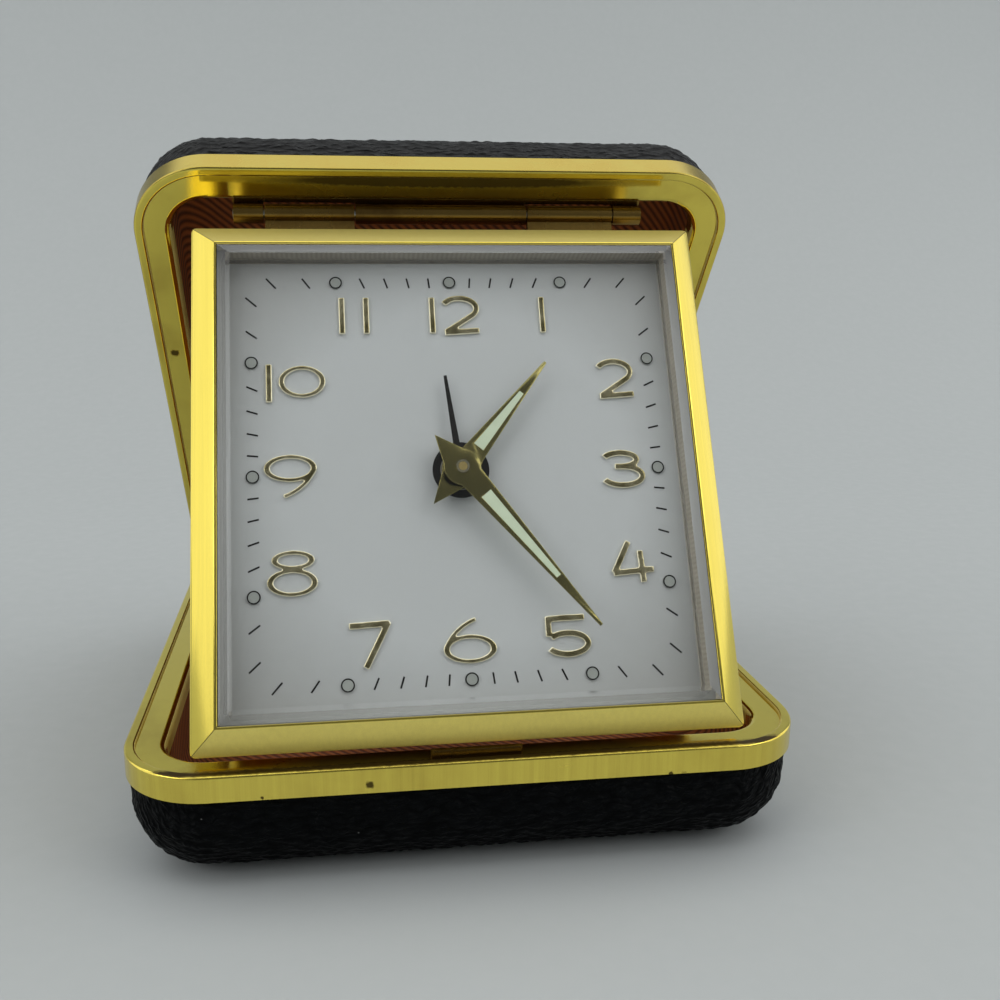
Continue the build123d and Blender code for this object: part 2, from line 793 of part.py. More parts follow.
pivot_hole = pivot_radius + shaft_clearance
train_places = [third_place, escape_place, balance_place, pallet_place, hammer_place]
front_holes = [(place, pivot_hole) for place in train_places + [minute_wheel_place]]
front_holes += [((0, 0), arbor_radius + shaft_clearance), (alarm_set_place, arbor_radius + shaft_clearance)]
front_holes += [(place, pivot_hole) for place in (going_place, alarm_barrel_place)]
keep(plate(front_plate_face, front_holes), "front_plate")

rear_holes = [(place, pivot_hole) for place in train_places]
rear_holes += [((0, 0), arbor_radius + shaft_clearance), (alarm_set_place, arbor_radius + shaft_clearance)]
rear_holes += [(place, key_arbor_radius + shaft_clearance) for place in (going_place, alarm_barrel_place)]
rear_holes += [(place, neck_radius + shaft_clearance) for place in corners]
rear_holes += [(button_place, button_flange + cover_clearance)]
with BuildPart() as rear_plate:
    add(plate(rear_plate_face, rear_holes))
    with BuildSketch(clock_face.offset(-rear_plate_face - plate_thickness)):
        with Locations(balance_place):
            Circle(regulator_bush)
            Circle(pivot_hole, mode=Mode.SUBTRACT)
    extrude(amount=-regulator_rise)
keep(rear_plate.part, "rear_plate")

train_front = front_plate_face + plate_thickness
with BuildPart() as pillars:
    with BuildSketch(clock_face.offset(-train_front)):
        with Locations(*corners):
            Circle(pillar_radius)
    extrude(amount=-(rear_plate_face - train_front))
    with BuildSketch(clock_face.offset(-rear_plate_face)):
        with Locations(*corners):
            Circle(neck_radius)
    extrude(amount=-(body_back - rear_plate_face))
    with BuildSketch(clock_face.offset(-body_back)):
        with Locations(*corners):
            Circle(screw_radius + shaft_clearance)
    extrude(amount=screw_hole_depth, mode=Mode.SUBTRACT)
keep(pillars.part, "pillars")

with BuildPart() as screws:
    with BuildSketch(clock_face.offset(-cover_back - seat_gap)):
        with Locations(*corners):
            Circle(screw_head_radius)
    extrude(amount=-screw_head)
    with BuildSketch(clock_face.offset(-cover_back - seat_gap)):
        with Locations(*corners):
            Circle(screw_radius)
    extrude(amount=screw_hole_depth)
    with BuildSketch(clock_face.offset(-cover_back - screw_head - seat_gap)):
        with Locations(*corners):
            Rectangle(2 * screw_head_radius, screw_radius)
    extrude(amount=screw_head / 2, mode=Mode.SUBTRACT)
keep(screws.part, "back_screws")


def toothed(place, tip, teeth):
    """Add a toothed outline to the sketch being made."""
    root = tip - tooth_height
    tooth_width = 2 * root * sin(radians(180 / teeth)) * tooth_width_share
    with Locations(place):
        Circle(root)
        with PolarLocations(root - tooth_height, teeth):
            with Locations((tooth_height, 0)):
                Rectangle(2 * tooth_height, tooth_width)


def arbor(place, radius, front, back):
    """Add a round arbor between two depths behind the bezel's edge."""
    with BuildSketch(clock_face.offset(-front)) as disc:
        with Locations(place):
            Circle(radius)
    extrude(disc.sketch, amount=-(back - front))


def gear(place, tip, teeth, front, thickness, windows):
    """Add a toothed wheel, with round windows if asked."""
    with BuildSketch(clock_face.offset(-front)) as outline:
        toothed(place, tip, teeth)
        if windows:
            with Locations(place):
                with PolarLocations(tip * window_share, wheel_windows):
                    Circle(tip * window_radius_share, mode=Mode.SUBTRACT)
    extrude(outline.sketch, amount=-thickness)


rear_end = rear_plate_face + plate_thickness
centre_front = train_front + wheel_gap
centre_pinion_front = centre_front + wheel_thickness
knob_front = cover_back + knob_gap

with BuildPart() as centre_wheel:
    arbor((0, 0), arbor_radius, -(minute_level - seat_gap), knob_front + knob_height / 2)
    arbor((0, 0), arbor_tip_radius, -(minute_level + hand_thickness + nut_thickness), 0)
    gear((0, 0), centre_wheel_tip, wheel_teeth, centre_front, wheel_thickness, True)
    gear((0, 0), centre_pinion_tip, pinion_teeth, centre_pinion_front, pinion_length, False)
keep(centre_wheel.part, "centre_wheel")

third_front = rear_plate_face - wheel_gap - 2 * wheel_thickness
with BuildPart() as third_wheel:
    arbor(third_place, pivot_radius, front_plate_face, rear_end)
    gear(third_place, third_pinion_tip, pinion_teeth, centre_front - seat_gap, pinion_length, False)
    gear(third_place, third_wheel_tip, wheel_teeth, third_front, wheel_thickness, True)
keep(third_wheel.part, "third_wheel")

with BuildPart() as escape_wheel:
    arbor(escape_place, pivot_radius, front_plate_face, rear_end)
    gear(escape_place, escape_wheel_tip, escape_teeth, escape_depth, wheel_thickness, True)
    gear(escape_place, escape_pinion_tip, pinion_teeth, third_front - wheel_gap, pinion_length, False)
keep(escape_wheel.part, "escape_wheel")

with BuildPart() as pallet_fork:
    arbor(pallet_place, pivot_radius, front_plate_face, rear_end)
    with BuildSketch(clock_face.offset(-escape_depth)):
        with Locations(pallet_place):
            Circle(pallet_hub)
            with Locations((pallet_arm / 2, 0)):
                Rectangle(pallet_arm, pallet_width)
            with Locations((0, 0)):
                Rectangle(pallet_width, 2 * pallet_hub + pallet_width)
    extrude(amount=-wheel_thickness)
keep(pallet_fork.part, "pallet_fork")

balance_front = train_front + 2 * wheel_thickness
with BuildPart() as balance_wheel:
    arbor(balance_place, pivot_radius, front_plate_face, rear_end)
    with BuildSketch(clock_face.offset(-balance_front)):
        with Locations(balance_place):
            Circle(balance_radius)
            Circle(balance_radius - balance_rim, mode=Mode.SUBTRACT)
            Rectangle(2 * balance_radius - balance_rim, balance_arm)
            Circle(roller_radius)
    extrude(amount=-wheel_thickness)
    arbor(balance_place, roller_radius, escape_depth, escape_depth + wheel_thickness)
keep(balance_wheel.part, "balance_wheel")

# Hairspring: half turns whose radius grows by half a pitch each time
spring_plane = clock_face.offset(-(escape_depth + 2 * wheel_thickness))
with BuildPart() as hairspring:
    with BuildSketch(spring_plane):
        with BuildLine() as coil:
            for index in range(2 * hairspring_turns):
                radius = hairspring_inner + hairspring_pitch * index / 2
                side = 1 if index % 2 == 0 else -1
                shift = 0 if index % 2 == 0 else -hairspring_pitch / 2
                middle = balance_place[0] + shift
                ThreePointArc(
                    (middle - side * radius, balance_place[1]),
                    (middle, balance_place[1] + side * radius),
                    (middle + side * radius, balance_place[1]),
                )
        trace(line_width=hairspring_wire)
    extrude(amount=-wheel_thickness)
keep(hairspring.part, "hairspring")

with BuildPart() as hammer:
    arbor(hammer_place, pivot_radius, front_plate_face, rear_end)
    with BuildSketch(clock_face.offset(-escape_depth)):
        with Locations(hammer_place):
            Circle(hammer_head)
            with Locations((-hammer_arm / 2, 0)):
                Rectangle(hammer_arm, hammer_width)
            with Locations((-hammer_arm, 0)):
                Circle(hammer_head)
    extrude(amount=-hammer_thickness)
keep(hammer.part, "alarm_hammer")

# Spring barrels, their springs, arbors and winding keys
barrel_back = rear_plate_face - wheel_gap
barrel_front = barrel_back - barrel_height
key_front = cover_back + knob_gap
for side, place in (("going", going_place), ("alarm", alarm_barrel_place)):
    with BuildPart() as barrel:
        gear(place, barrel_tip, barrel_teeth, barrel_front, wheel_thickness, False)
        arbor(place, barrel_drum, barrel_front, barrel_back)
        with BuildSketch(clock_face.offset(-barrel_front - barrel_wall)):
            with Locations(place):
                Circle(barrel_drum - barrel_wall)
        extrude(amount=-(barrel_height - 2 * barrel_wall), mode=Mode.SUBTRACT)
        with BuildSketch(clock_face.offset(-barrel_front + overrun)):
            with Locations(place):
                Circle(key_arbor_radius + shaft_clearance)
        extrude(amount=-barrel_height - 2 * overrun, mode=Mode.SUBTRACT)
    keep(barrel.part, f"{side}_barrel")
    with BuildPart() as mainspring:
        with BuildSketch(clock_face.offset(-barrel_front - barrel_wall - seat_gap)):
            with Locations(place):
                Circle(barrel_drum - barrel_wall - seat_gap)
                Circle(barrel_drum / 2, mode=Mode.SUBTRACT)
        extrude(amount=-(barrel_height - 2 * barrel_wall - 2 * seat_gap))
    keep(mainspring.part, f"{side}_mainspring")
    with BuildPart() as key:
        arbor(place, pivot_radius, front_plate_face, barrel_front)
        arbor(place, key_arbor_radius, train_front + wheel_gap, key_front)
        arbor(place, key_hub_radius, key_front, key_front + key_hub)
        with BuildSketch(clock_face.offset(-key_front - key_hub)):
            with Locations(place):
                SlotOverall(2 * key_wing, key_wing_thickness)
        extrude(amount=-(key_height - key_hub))
    keep(key.part, f"{side}_winding_key")


def ribbed_knob(place, radius, bore):
    """Round knob with ribs round its edge."""
    with BuildPart() as knob:
        with BuildSketch(clock_face.offset(-knob_front)):
            with Locations(place):
                Circle(radius - knob_rib)
                with PolarLocations(radius - knob_rib, knob_ribs):
                    Circle(knob_rib)
        extrude(amount=-knob_height)
        with BuildSketch(clock_face.offset(-knob_front)):
            with Locations(place):
                Circle(bore)
        extrude(amount=-knob_height / 2, mode=Mode.SUBTRACT)
    return knob.part


knob_bore = arbor_radius + seat_gap
keep(ribbed_knob((0, 0), knob_radius, knob_bore), "time_set_knob")
keep(ribbed_knob(alarm_set_place, alarm_knob_radius, knob_bore), "alarm_set_knob")

# Motion work behind the dial
alarm_wheel_front = dial_drop + dial_thickness + wheel_gap
hour_wheel_front = alarm_wheel_front + motion_wheel + wheel_gap
cannon_front = hour_wheel_front + motion_wheel + wheel_gap
cannon_back = front_plate_face - wheel_gap

with BuildPart() as alarm_arbor:
    arbor(alarm_set_place, arbor_radius, alarm_wheel_front, knob_front + knob_height / 2)
    gear(alarm_set_place, alarm_pinion_tip, alarm_pinion_teeth, alarm_wheel_front, motion_wheel, False)
keep(alarm_arbor.part, "alarm_set_arbor")


def pipe(inner, outer, top, tip, teeth, front, thickness):
    """Wheel on a pipe round the centre arbor."""
    with BuildPart() as tube:
        arbor((0, 0), outer, -top, front + thickness)
        gear((0, 0), tip, teeth, front, thickness, False)
        with BuildSketch(clock_face.offset(top + overrun)):
            Circle(inner)
        extrude(amount=-(top + front + thickness + 2 * overrun), mode=Mode.SUBTRACT)
    return tube.part


keep(
    pipe(
        hour_pipe_radius + pipe_clearance, alarm_pipe_radius, alarm_level + hand_thickness,
        alarm_wheel_tip, wheel_teeth, alarm_wheel_front, motion_wheel,
    ),
    "alarm_wheel",
)
keep(
    pipe(
        cannon_radius + pipe_clearance, hour_pipe_radius, hour_level + hand_thickness,
        hour_wheel_tip, hour_wheel_teeth, hour_wheel_front, motion_wheel,
    ),
    "hour_wheel",
)
keep(
    pipe(
        arbor_radius + shaft_clearance, cannon_radius, minute_level - seat_gap,
        cannon_pinion_tip, cannon_teeth, cannon_front, cannon_back - cannon_front,
    ),
    "cannon_pinion",
)
with BuildPart() as minute_wheel:
    arbor(minute_wheel_place, pivot_radius, hour_wheel_front, front_plate_face + plate_thickness)
    gear(minute_wheel_place, minute_wheel_tip, minute_wheel_teeth, cannon_front, motion_wheel, True)
    pinion_depth = cannon_front - hour_wheel_front
    gear(minute_wheel_place, minute_pinion_tip, pinion_teeth, hour_wheel_front, pinion_depth, False)
keep(minute_wheel.part, "minute_wheel")

# Alarm stop button and regulator
with BuildPart() as stop_button:
    arbor(button_place, button_flange, body_back - wheel_gap - wheel_thickness, body_back - wheel_gap)
    arbor(button_place, button_radius, body_back - wheel_gap, cover_back + button_rise)
keep(stop_button.part, "alarm_stop_button")

with BuildPart() as regulator:
    with BuildSketch(clock_face.offset(-rear_end - seat_gap)):
        with Locations(balance_place):
            Circle(regulator_ring)
            with Locations((0, -regulator_reach / 2)):
                Rectangle(regulator_tab, regulator_reach)
            Circle(regulator_bush + shaft_clearance, mode=Mode.SUBTRACT)
    extrude(amount=-wheel_thickness)
    with BuildSketch(clock_face.offset(-rear_end - seat_gap)):
        with Locations(regulator_place):
            Rectangle(regulator_tab, regulator_tab)
    extrude(amount=-(cover_back + regulator_rise - rear_end))
keep(regulator.part, "regulator_lever")
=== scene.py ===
"""Looks of a folding travel alarm clock that stands open on its own easel.

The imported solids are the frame: they keep their places, and this script gives them finishes and
adds the grained skins, the bevelled numerals, the printed track and the other fine pieces.
Metres, +Z up, the dial faces -Y.
"""
import json
import logging
import math
from dataclasses import dataclass
from enum import Enum
from typing import Callable, Iterable

import bmesh
import bpy
from mathutils import Matrix, Vector, noise


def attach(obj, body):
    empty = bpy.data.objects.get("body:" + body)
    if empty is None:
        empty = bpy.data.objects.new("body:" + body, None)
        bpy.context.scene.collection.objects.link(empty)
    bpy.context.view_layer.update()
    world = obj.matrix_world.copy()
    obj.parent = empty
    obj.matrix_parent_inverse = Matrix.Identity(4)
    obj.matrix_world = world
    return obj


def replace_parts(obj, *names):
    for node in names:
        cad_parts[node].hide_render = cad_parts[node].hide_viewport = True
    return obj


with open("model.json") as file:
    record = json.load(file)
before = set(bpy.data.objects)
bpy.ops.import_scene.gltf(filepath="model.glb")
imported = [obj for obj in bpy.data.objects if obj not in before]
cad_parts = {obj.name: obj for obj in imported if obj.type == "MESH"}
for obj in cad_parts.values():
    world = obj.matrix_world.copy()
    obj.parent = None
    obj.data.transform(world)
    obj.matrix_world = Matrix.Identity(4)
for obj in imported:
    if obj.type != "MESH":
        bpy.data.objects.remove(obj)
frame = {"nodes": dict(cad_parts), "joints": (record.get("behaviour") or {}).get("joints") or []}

MM = 0.001
LOG = logging.getLogger("travel_clock")
SHEET_MAP = "sheet"
FLAT_ANGLE = math.radians(2.0)
SHARP_ANGLE = math.radians(24.0)
CREASE_ANGLE = math.radians(40.0)
RING_STEPS = 40
Colour = tuple[float, float, float]


class Body(Enum):
    """Bodies that new pieces ride on."""

    BASE = "base"
    LID = "lid"
    CLOCK = "clock"
    MINUTE = "minute_set"
    HOUR = "hour_set"
    ALARM = "alarm_pointer"


@dataclass(frozen=True)
class Station:
    """A place in the row frame with its own up and outward directions.

    Attributes:
        origin: middle of the place.
        up: direction of the place's own vertical.
        out: direction away from its face.
    """

    origin: Vector
    up: Vector
    out: Vector

    def matrix(self) -> Matrix:
        """Matrix from right, up, out coordinates to the row frame."""
        right = self.up.cross(self.out)
        turn = Matrix((right, self.up, self.out)).transposed().to_4x4()
        return Matrix.Translation(self.origin) @ turn

    def pitch(self) -> float:
        """Turn about X that lays the station's up along Z."""
        return math.atan2(self.up.y, self.up.z)


def joint_named(name: str) -> dict:
    """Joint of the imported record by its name.

    Args:
        name: the joint's name.

    Returns:
        The joint's entry.
    """
    return next(joint for joint in frame["joints"] if joint["name"] == name)


def stations() -> dict[Body, Station]:
    """Work out the base's, lid's and clock's own directions from the joints.

    Returns:
        One station for each of the three main bodies.
    """
    case_axis = Vector(joint_named("case_hinge")["pos_m"])
    apex = Vector(joint_named("clock_hinge")["pos_m"])
    along = (apex - case_axis).normalized()
    x_axis = Vector((1.0, 0.0, 0.0))
    minute = joint_named("minute_turn")
    out = -Vector(minute["axis"]).normalized()
    return {
        Body.BASE: Station(Vector((0.0, 0.0, case_axis.z)), Vector((0.0, 1.0, 0.0)), Vector((0.0, 0.0, 1.0))),
        Body.LID: Station(case_axis, along, x_axis.cross(along)),
        Body.CLOCK: Station(Vector(minute["pos_m"]), out.cross(x_axis), out),
    }


class Graph:
    """Short way to add and join the nodes of one shader tree."""

    def __init__(self, tree: bpy.types.NodeTree) -> None:
        """Keep the tree that nodes are added to."""
        self.tree = tree

    def add(self, kind: str, **settings: object) -> bpy.types.Node:
        """Add a node.

        Args:
            kind: the node's type name, without its prefix.
            settings: properties to set on it.

        Returns:
            The new node.
        """
        node = self.tree.nodes.new("ShaderNode" + kind)
        for name, value in settings.items():
            setattr(node, name, value)
        return node

    def feed(self, socket: bpy.types.NodeSocket, value: object) -> None:
        """Join an output to a socket, or set the socket to a plain value."""
        if isinstance(value, bpy.types.NodeSocket):
            self.tree.links.new(value, socket)
        else:
            socket.default_value = value

    def math(self, operation: str, *values: object) -> bpy.types.NodeSocket:
        """Add a Math node on the given values.

        Args:
            operation: the node's operation.
            values: outputs or numbers, in socket order.

        Returns:
            Its result.
        """
        node = self.add("Math", operation=operation)
        for socket, value in zip(node.inputs, values):
            self.feed(socket, value)
        return node.outputs[0]

    def span(self, value: object, low: float, high: float, start: float, end: float) -> bpy.types.NodeSocket:
        """Carry a value from one span to another, held inside it.

        Args:
            value: the output to carry.
            low: value that becomes start.
            high: value that becomes end.
            start: result at low.
            end: result at high.

        Returns:
            The carried value.
        """
        node = self.add("MapRange")
        for socket, number in zip(node.inputs, (value, low, high, start, end)):
            self.feed(socket, number)
        return node.outputs[0]

    def noise(self, vector: object, scale: float, detail: float = 2.0, rough: float = 0.5) -> bpy.types.NodeSocket:
        """Add a noise pattern.

        Args:
            vector: the coordinates, in millimetres.
            scale: waves in a millimetre.
            detail: number of finer layers.
            rough: strength of the finer layers.

        Returns:
            The pattern's value.
        """
        node = self.add("TexNoise")
        self.feed(node.inputs["Vector"], vector)
        node.inputs["Scale"].default_value = scale
        node.inputs["Detail"].default_value = detail
        node.inputs["Roughness"].default_value = rough
        return node.outputs["Fac"]

    def stretch(self, vector: object, scale: Colour) -> bpy.types.NodeSocket:
        """Scale coordinates by a factor for each axis.

        Args:
            vector: the coordinates.
            scale: the three factors.

        Returns:
            The scaled coordinates.
        """
        node = self.add("Mapping", vector_type="POINT")
        self.feed(node.inputs["Vector"], vector)
        node.inputs["Scale"].default_value = scale
        return node.outputs[0]

    def vector(self, operation: str, *values: object) -> bpy.types.NodeSocket:
        """Add a Vector Math node on the given values.

        Args:
            operation: the node's operation.
            values: outputs or vectors, in socket order.

        Returns:
            Its result, a distance as a value and anything else as a vector.
        """
        node = self.add("VectorMath", operation=operation)
        for socket, value in zip(node.inputs, values):
            self.feed(socket, value)
        return node.outputs["Value" if operation == "DISTANCE" else "Vector"]

    def warp(self, vector: object, scale: float, reach: float) -> bpy.types.NodeSocket:
        """Shift coordinates by a slow noise.

        Args:
            vector: the coordinates, in millimetres.
            scale: waves in a millimetre.
            reach: longest shift, in millimetres.

        Returns:
            The shifted coordinates.
        """
        node = self.add("TexNoise")
        self.feed(node.inputs["Vector"], vector)
        node.inputs["Scale"].default_value = scale
        centred = self.vector("SUBTRACT", node.outputs["Color"], (0.5, 0.5, 0.5))
        return self.vector("MULTIPLY_ADD", centred, (2.0 * reach,) * 3, vector)

    def blend(self, share: object, first: object, second: object) -> bpy.types.NodeSocket:
        """Mix two colours.

        Args:
            share: share of the second one.
            first: output or colour.
            second: output or colour.

        Returns:
            The mixed colour.
        """
        node = self.add("Mix", data_type="RGBA")
        colours = [socket for socket in node.inputs if socket.type == "RGBA"]
        self.feed(node.inputs[0], share)
        for socket, value in zip(colours, (first, second)):
            self.feed(socket, value if isinstance(value, bpy.types.NodeSocket) else (*value, 1.0))
        return next(socket for socket in node.outputs if socket.type == "RGBA")


def effect_group(name: str, outputs: Iterable[str], build: Callable[[Graph, object], list]) -> bpy.types.NodeTree:
    """Build a shared effect as a node group that takes coordinates in millimetres.

    Args:
        name: the group's name.
        outputs: names of its value outputs.
        build: function that adds the nodes and returns one output for each name.

    Returns:
        The node group.
    """
    tree = bpy.data.node_groups.new(name, "ShaderNodeTree")
    tree.interface.new_socket(name="Vector", in_out="INPUT", socket_type="NodeSocketVector")
    for output in outputs:
        tree.interface.new_socket(name=output, in_out="OUTPUT", socket_type="NodeSocketFloat")
    source = tree.nodes.new("NodeGroupInput")
    result = tree.nodes.new("NodeGroupOutput")
    for socket, made in zip(result.inputs, build(Graph(tree), source.outputs["Vector"])):
        tree.links.new(made, socket)
    return tree


def brush_marks(graph: Graph, vector: object) -> list:
    """Fine lines left by a brush run along Z.

    Args:
        graph: the group's graph.
        vector: coordinates in millimetres.

    Returns:
        Height of the lines, and a slow shade across them.
    """
    fine = graph.noise(graph.stretch(vector, (7.0, 7.0, 0.08)), 1.0, 3.0, 0.7)
    broad = graph.noise(graph.stretch(vector, (1.8, 1.8, 0.03)), 1.0, 2.0)
    return [fine, graph.math("MULTIPLY", graph.math("ADD", fine, broad), 0.5)]


def tarnish_marks(graph: Graph, vector: object) -> list:
    """Cloudy tarnish, small dark spots and hairline scratches.

    Args:
        graph: the group's graph.
        vector: coordinates in millimetres.

    Returns:
        Masks of the clouds, the spots and the scratches.
    """
    cloud = graph.span(graph.noise(vector, 0.11, 4.0, 0.6), 0.45, 0.75, 0.0, 1.0)
    cells = graph.add("TexVoronoi", feature="F1")
    graph.feed(cells.inputs["Vector"], vector)
    cells.inputs["Scale"].default_value = 0.09
    wobble = graph.math("MULTIPLY", graph.noise(vector, 2.5), 0.05)
    spots = graph.span(graph.math("ADD", cells.outputs["Distance"], wobble), 0.05, 0.075, 1.0, 0.0)
    hair = graph.noise(graph.stretch(vector, (0.25, 3.0, 3.0)), 1.0, 2.0, 0.4)
    return [cloud, spots, graph.span(hair, 0.72, 0.76, 0.0, 1.0)]


def leather_marks(graph: Graph, vector: object) -> list:
    """Wavy rope-like ridges of the pressed grain, long across the sheet.

    Args:
        graph: the group's graph.
        vector: coordinates on the flat sheet, in millimetres.

    Returns:
        Height of the grain and a mask of its worn crests.
    """
    wavy = graph.warp(graph.warp(vector, 0.35, 0.8), 1.1, 0.3)
    cells = graph.add("TexVoronoi", feature="SMOOTH_F1", voronoi_dimensions="2D")
    graph.feed(cells.inputs["Vector"], graph.stretch(wavy, (0.55, 1.5, 1.0)))
    cells.inputs["Scale"].default_value = 1.0
    cells.inputs["Smoothness"].default_value = 0.35
    ridge = graph.span(cells.outputs["Distance"], 0.1, 0.75, 1.0, 0.0)
    fine = graph.noise(vector, 7.0, 3.0)
    height = graph.math("ADD", ridge, graph.math("MULTIPLY", fine, 0.16))
    return [height, graph.math("MULTIPLY", ridge, graph.span(graph.noise(vector, 0.2), 0.3, 0.7, 0.4, 1.0))]


def cloth_marks(graph: Graph, vector: object) -> list:
    """Ribbed cloth with slanting cords and a fine crossing thread.

    Args:
        graph: the group's graph.
        vector: coordinates in millimetres.

    Returns:
        Height of the ribs and a shade that follows them.
    """
    rib = graph.add("TexWave", wave_type="BANDS", bands_direction="DIAGONAL", wave_profile="SIN")
    graph.feed(rib.inputs["Vector"], vector)
    rib.inputs["Scale"].default_value = 0.5
    rib.inputs["Distortion"].default_value = 0.3
    thread = graph.noise(vector, 5.0, 2.0)
    height = graph.math("ADD", rib.outputs["Fac"], graph.math("MULTIPLY", thread, 0.35))
    return [height, graph.math("MULTIPLY", height, graph.span(graph.noise(vector, 0.15), 0.3, 0.7, 0.7, 1.0))]


def lint_marks(graph: Graph, vector: object) -> list:
    """Scattered specks of dust.

    Args:
        graph: the group's graph.
        vector: coordinates in millimetres.

    Returns:
        A mask of the specks.
    """
    cells = graph.add("TexVoronoi", feature="F1")
    graph.feed(cells.inputs["Vector"], vector)
    cells.inputs["Scale"].default_value = 0.16
    return [graph.span(cells.outputs["Distance"], 0.012, 0.02, 1.0, 0.0)]


def rib_marks(graph: Graph, vector: object) -> list:
    """Fine even ribs moulded across the edge of a square pane.

    Args:
        graph: the group's graph.
        vector: coordinates in millimetres.

    Returns:
        Height of the ribs.
    """
    wave = graph.add("TexWave", wave_type="BANDS", bands_direction="DIAGONAL", wave_profile="SIN")
    graph.feed(wave.inputs["Vector"], graph.vector("MULTIPLY", vector, (1.0, 0.0, 1.0)))
    wave.inputs["Scale"].default_value = 1.1
    return [wave.outputs["Fac"]]


class Effect(Enum):
    """Surface effects that more than one finish uses."""

    BRUSH = "brush_marks"
    TARNISH = "tarnish_marks"
    LEATHER = "leather_marks"
    CLOTH = "cloth_marks"
    LINT = "lint_marks"
    RIBS = "rib_marks"


EFFECT_GROUPS: dict[Effect, bpy.types.NodeTree] = {
    Effect.BRUSH: effect_group("brush_marks", ("Height", "Shade"), brush_marks),
    Effect.TARNISH: effect_group("tarnish_marks", ("Cloud", "Spots", "Scratches"), tarnish_marks),
    Effect.LEATHER: effect_group("leather_marks", ("Height", "Crests"), leather_marks),
    Effect.CLOTH: effect_group("cloth_marks", ("Height", "Shade"), cloth_marks),
    Effect.LINT: effect_group("lint_marks", ("Specks",), lint_marks),
    Effect.RIBS: effect_group("rib_marks", ("Height",), rib_marks),
}


@dataclass(frozen=True)
class Finish:
    """A surface finish that becomes one material.

    Attributes:
        name: the material's name.
        colour: colour of the clean surface.
        shade: colour of the tarnish, valleys or wear.
        rough: roughness of the clean surface.
        metallic: 1 for bare metal.
        pitch: turn about X that lays the piece's own up along Z.
        gloss: level of the clear reflection, 0.5 for common lacquer.
    """

    name: str
    colour: Colour
    shade: Colour
    rough: float
    metallic: float = 0.0
    pitch: float = 0.0
    gloss: float = 0.5

    def start(self) -> tuple[bpy.types.Material, Graph, bpy.types.Node, bpy.types.NodeSocket]:
        """Make the material with its shader and its coordinates.

        Returns:
            The material, its graph, its shader and coordinates in millimetres along the piece.
        """
        material = bpy.data.materials.new(self.name)
        material.use_nodes = True
        graph = Graph(material.node_tree)
        shader = material.node_tree.nodes["Principled BSDF"]
        shader.inputs["Base Color"].default_value = (*self.colour, 1.0)
        shader.inputs["Roughness"].default_value = self.rough
        shader.inputs["Metallic"].default_value = self.metallic
        shader.inputs["Specular IOR Level"].default_value = self.gloss
        place = graph.add("TexCoord").outputs["Object"]
        turned = graph.add("Mapping", vector_type="POINT")
        graph.feed(turned.inputs["Vector"], place)
        turned.inputs["Rotation"].default_value = (self.pitch, 0.0, 0.0)
        turned.inputs["Scale"].default_value = (1.0 / MM,) * 3
        return material, graph, shader, turned.outputs[0]

    def effect(self, graph: Graph, kind: Effect, vector: object) -> bpy.types.Node:
        """Place a shared effect in the material.

        Args:
            graph: the material's graph.
            kind: which effect.
            vector: coordinates in millimetres.

        Returns:
            The group's node.
        """
        node = graph.add("Group", node_tree=EFFECT_GROUPS[kind])
        graph.feed(node.inputs["Vector"], vector)
        return node

    def bump(self, graph: Graph, shader: bpy.types.Node, height: object, strength: float, depth: float) -> None:
        """Feed a bump into the shader's normal.

        Args:
            graph: the material's graph.
            shader: the material's shader.
            height: the pattern.
            strength: share of the bump that shows.
            depth: the pattern's height in metres.
        """
        node = graph.add("Bump")
        node.inputs["Strength"].default_value = strength
        node.inputs["Distance"].default_value = depth
        graph.feed(node.inputs["Height"], height)
        graph.feed(shader.inputs["Normal"], node.outputs[0])

    def material(self) -> bpy.types.Material:
        """Plain finish with a slow change of shade and roughness."""
        material, graph, shader, vector = self.start()
        slow = graph.noise(vector, 0.35, 3.0)
        graph.feed(shader.inputs["Base Color"], graph.blend(slow, self.colour, self.shade))
        graph.feed(shader.inputs["Roughness"], graph.span(slow, 0.3, 0.7, self.rough * 0.85, self.rough * 1.2))
        return material


@dataclass(frozen=True)
class StainAndReflection:
    """A rust-brown spot on brass, or a strip of painted dark reflection on it.

    Attributes:
        place: where it is, in millimetres in the row frame.
        radius: its radius in millimetres.
        length: how many times longer it is along X.
        strength: share of the brass that it hides.
    """

    place: Colour
    radius: float
    length: float = 1.0
    strength: float = 0.9


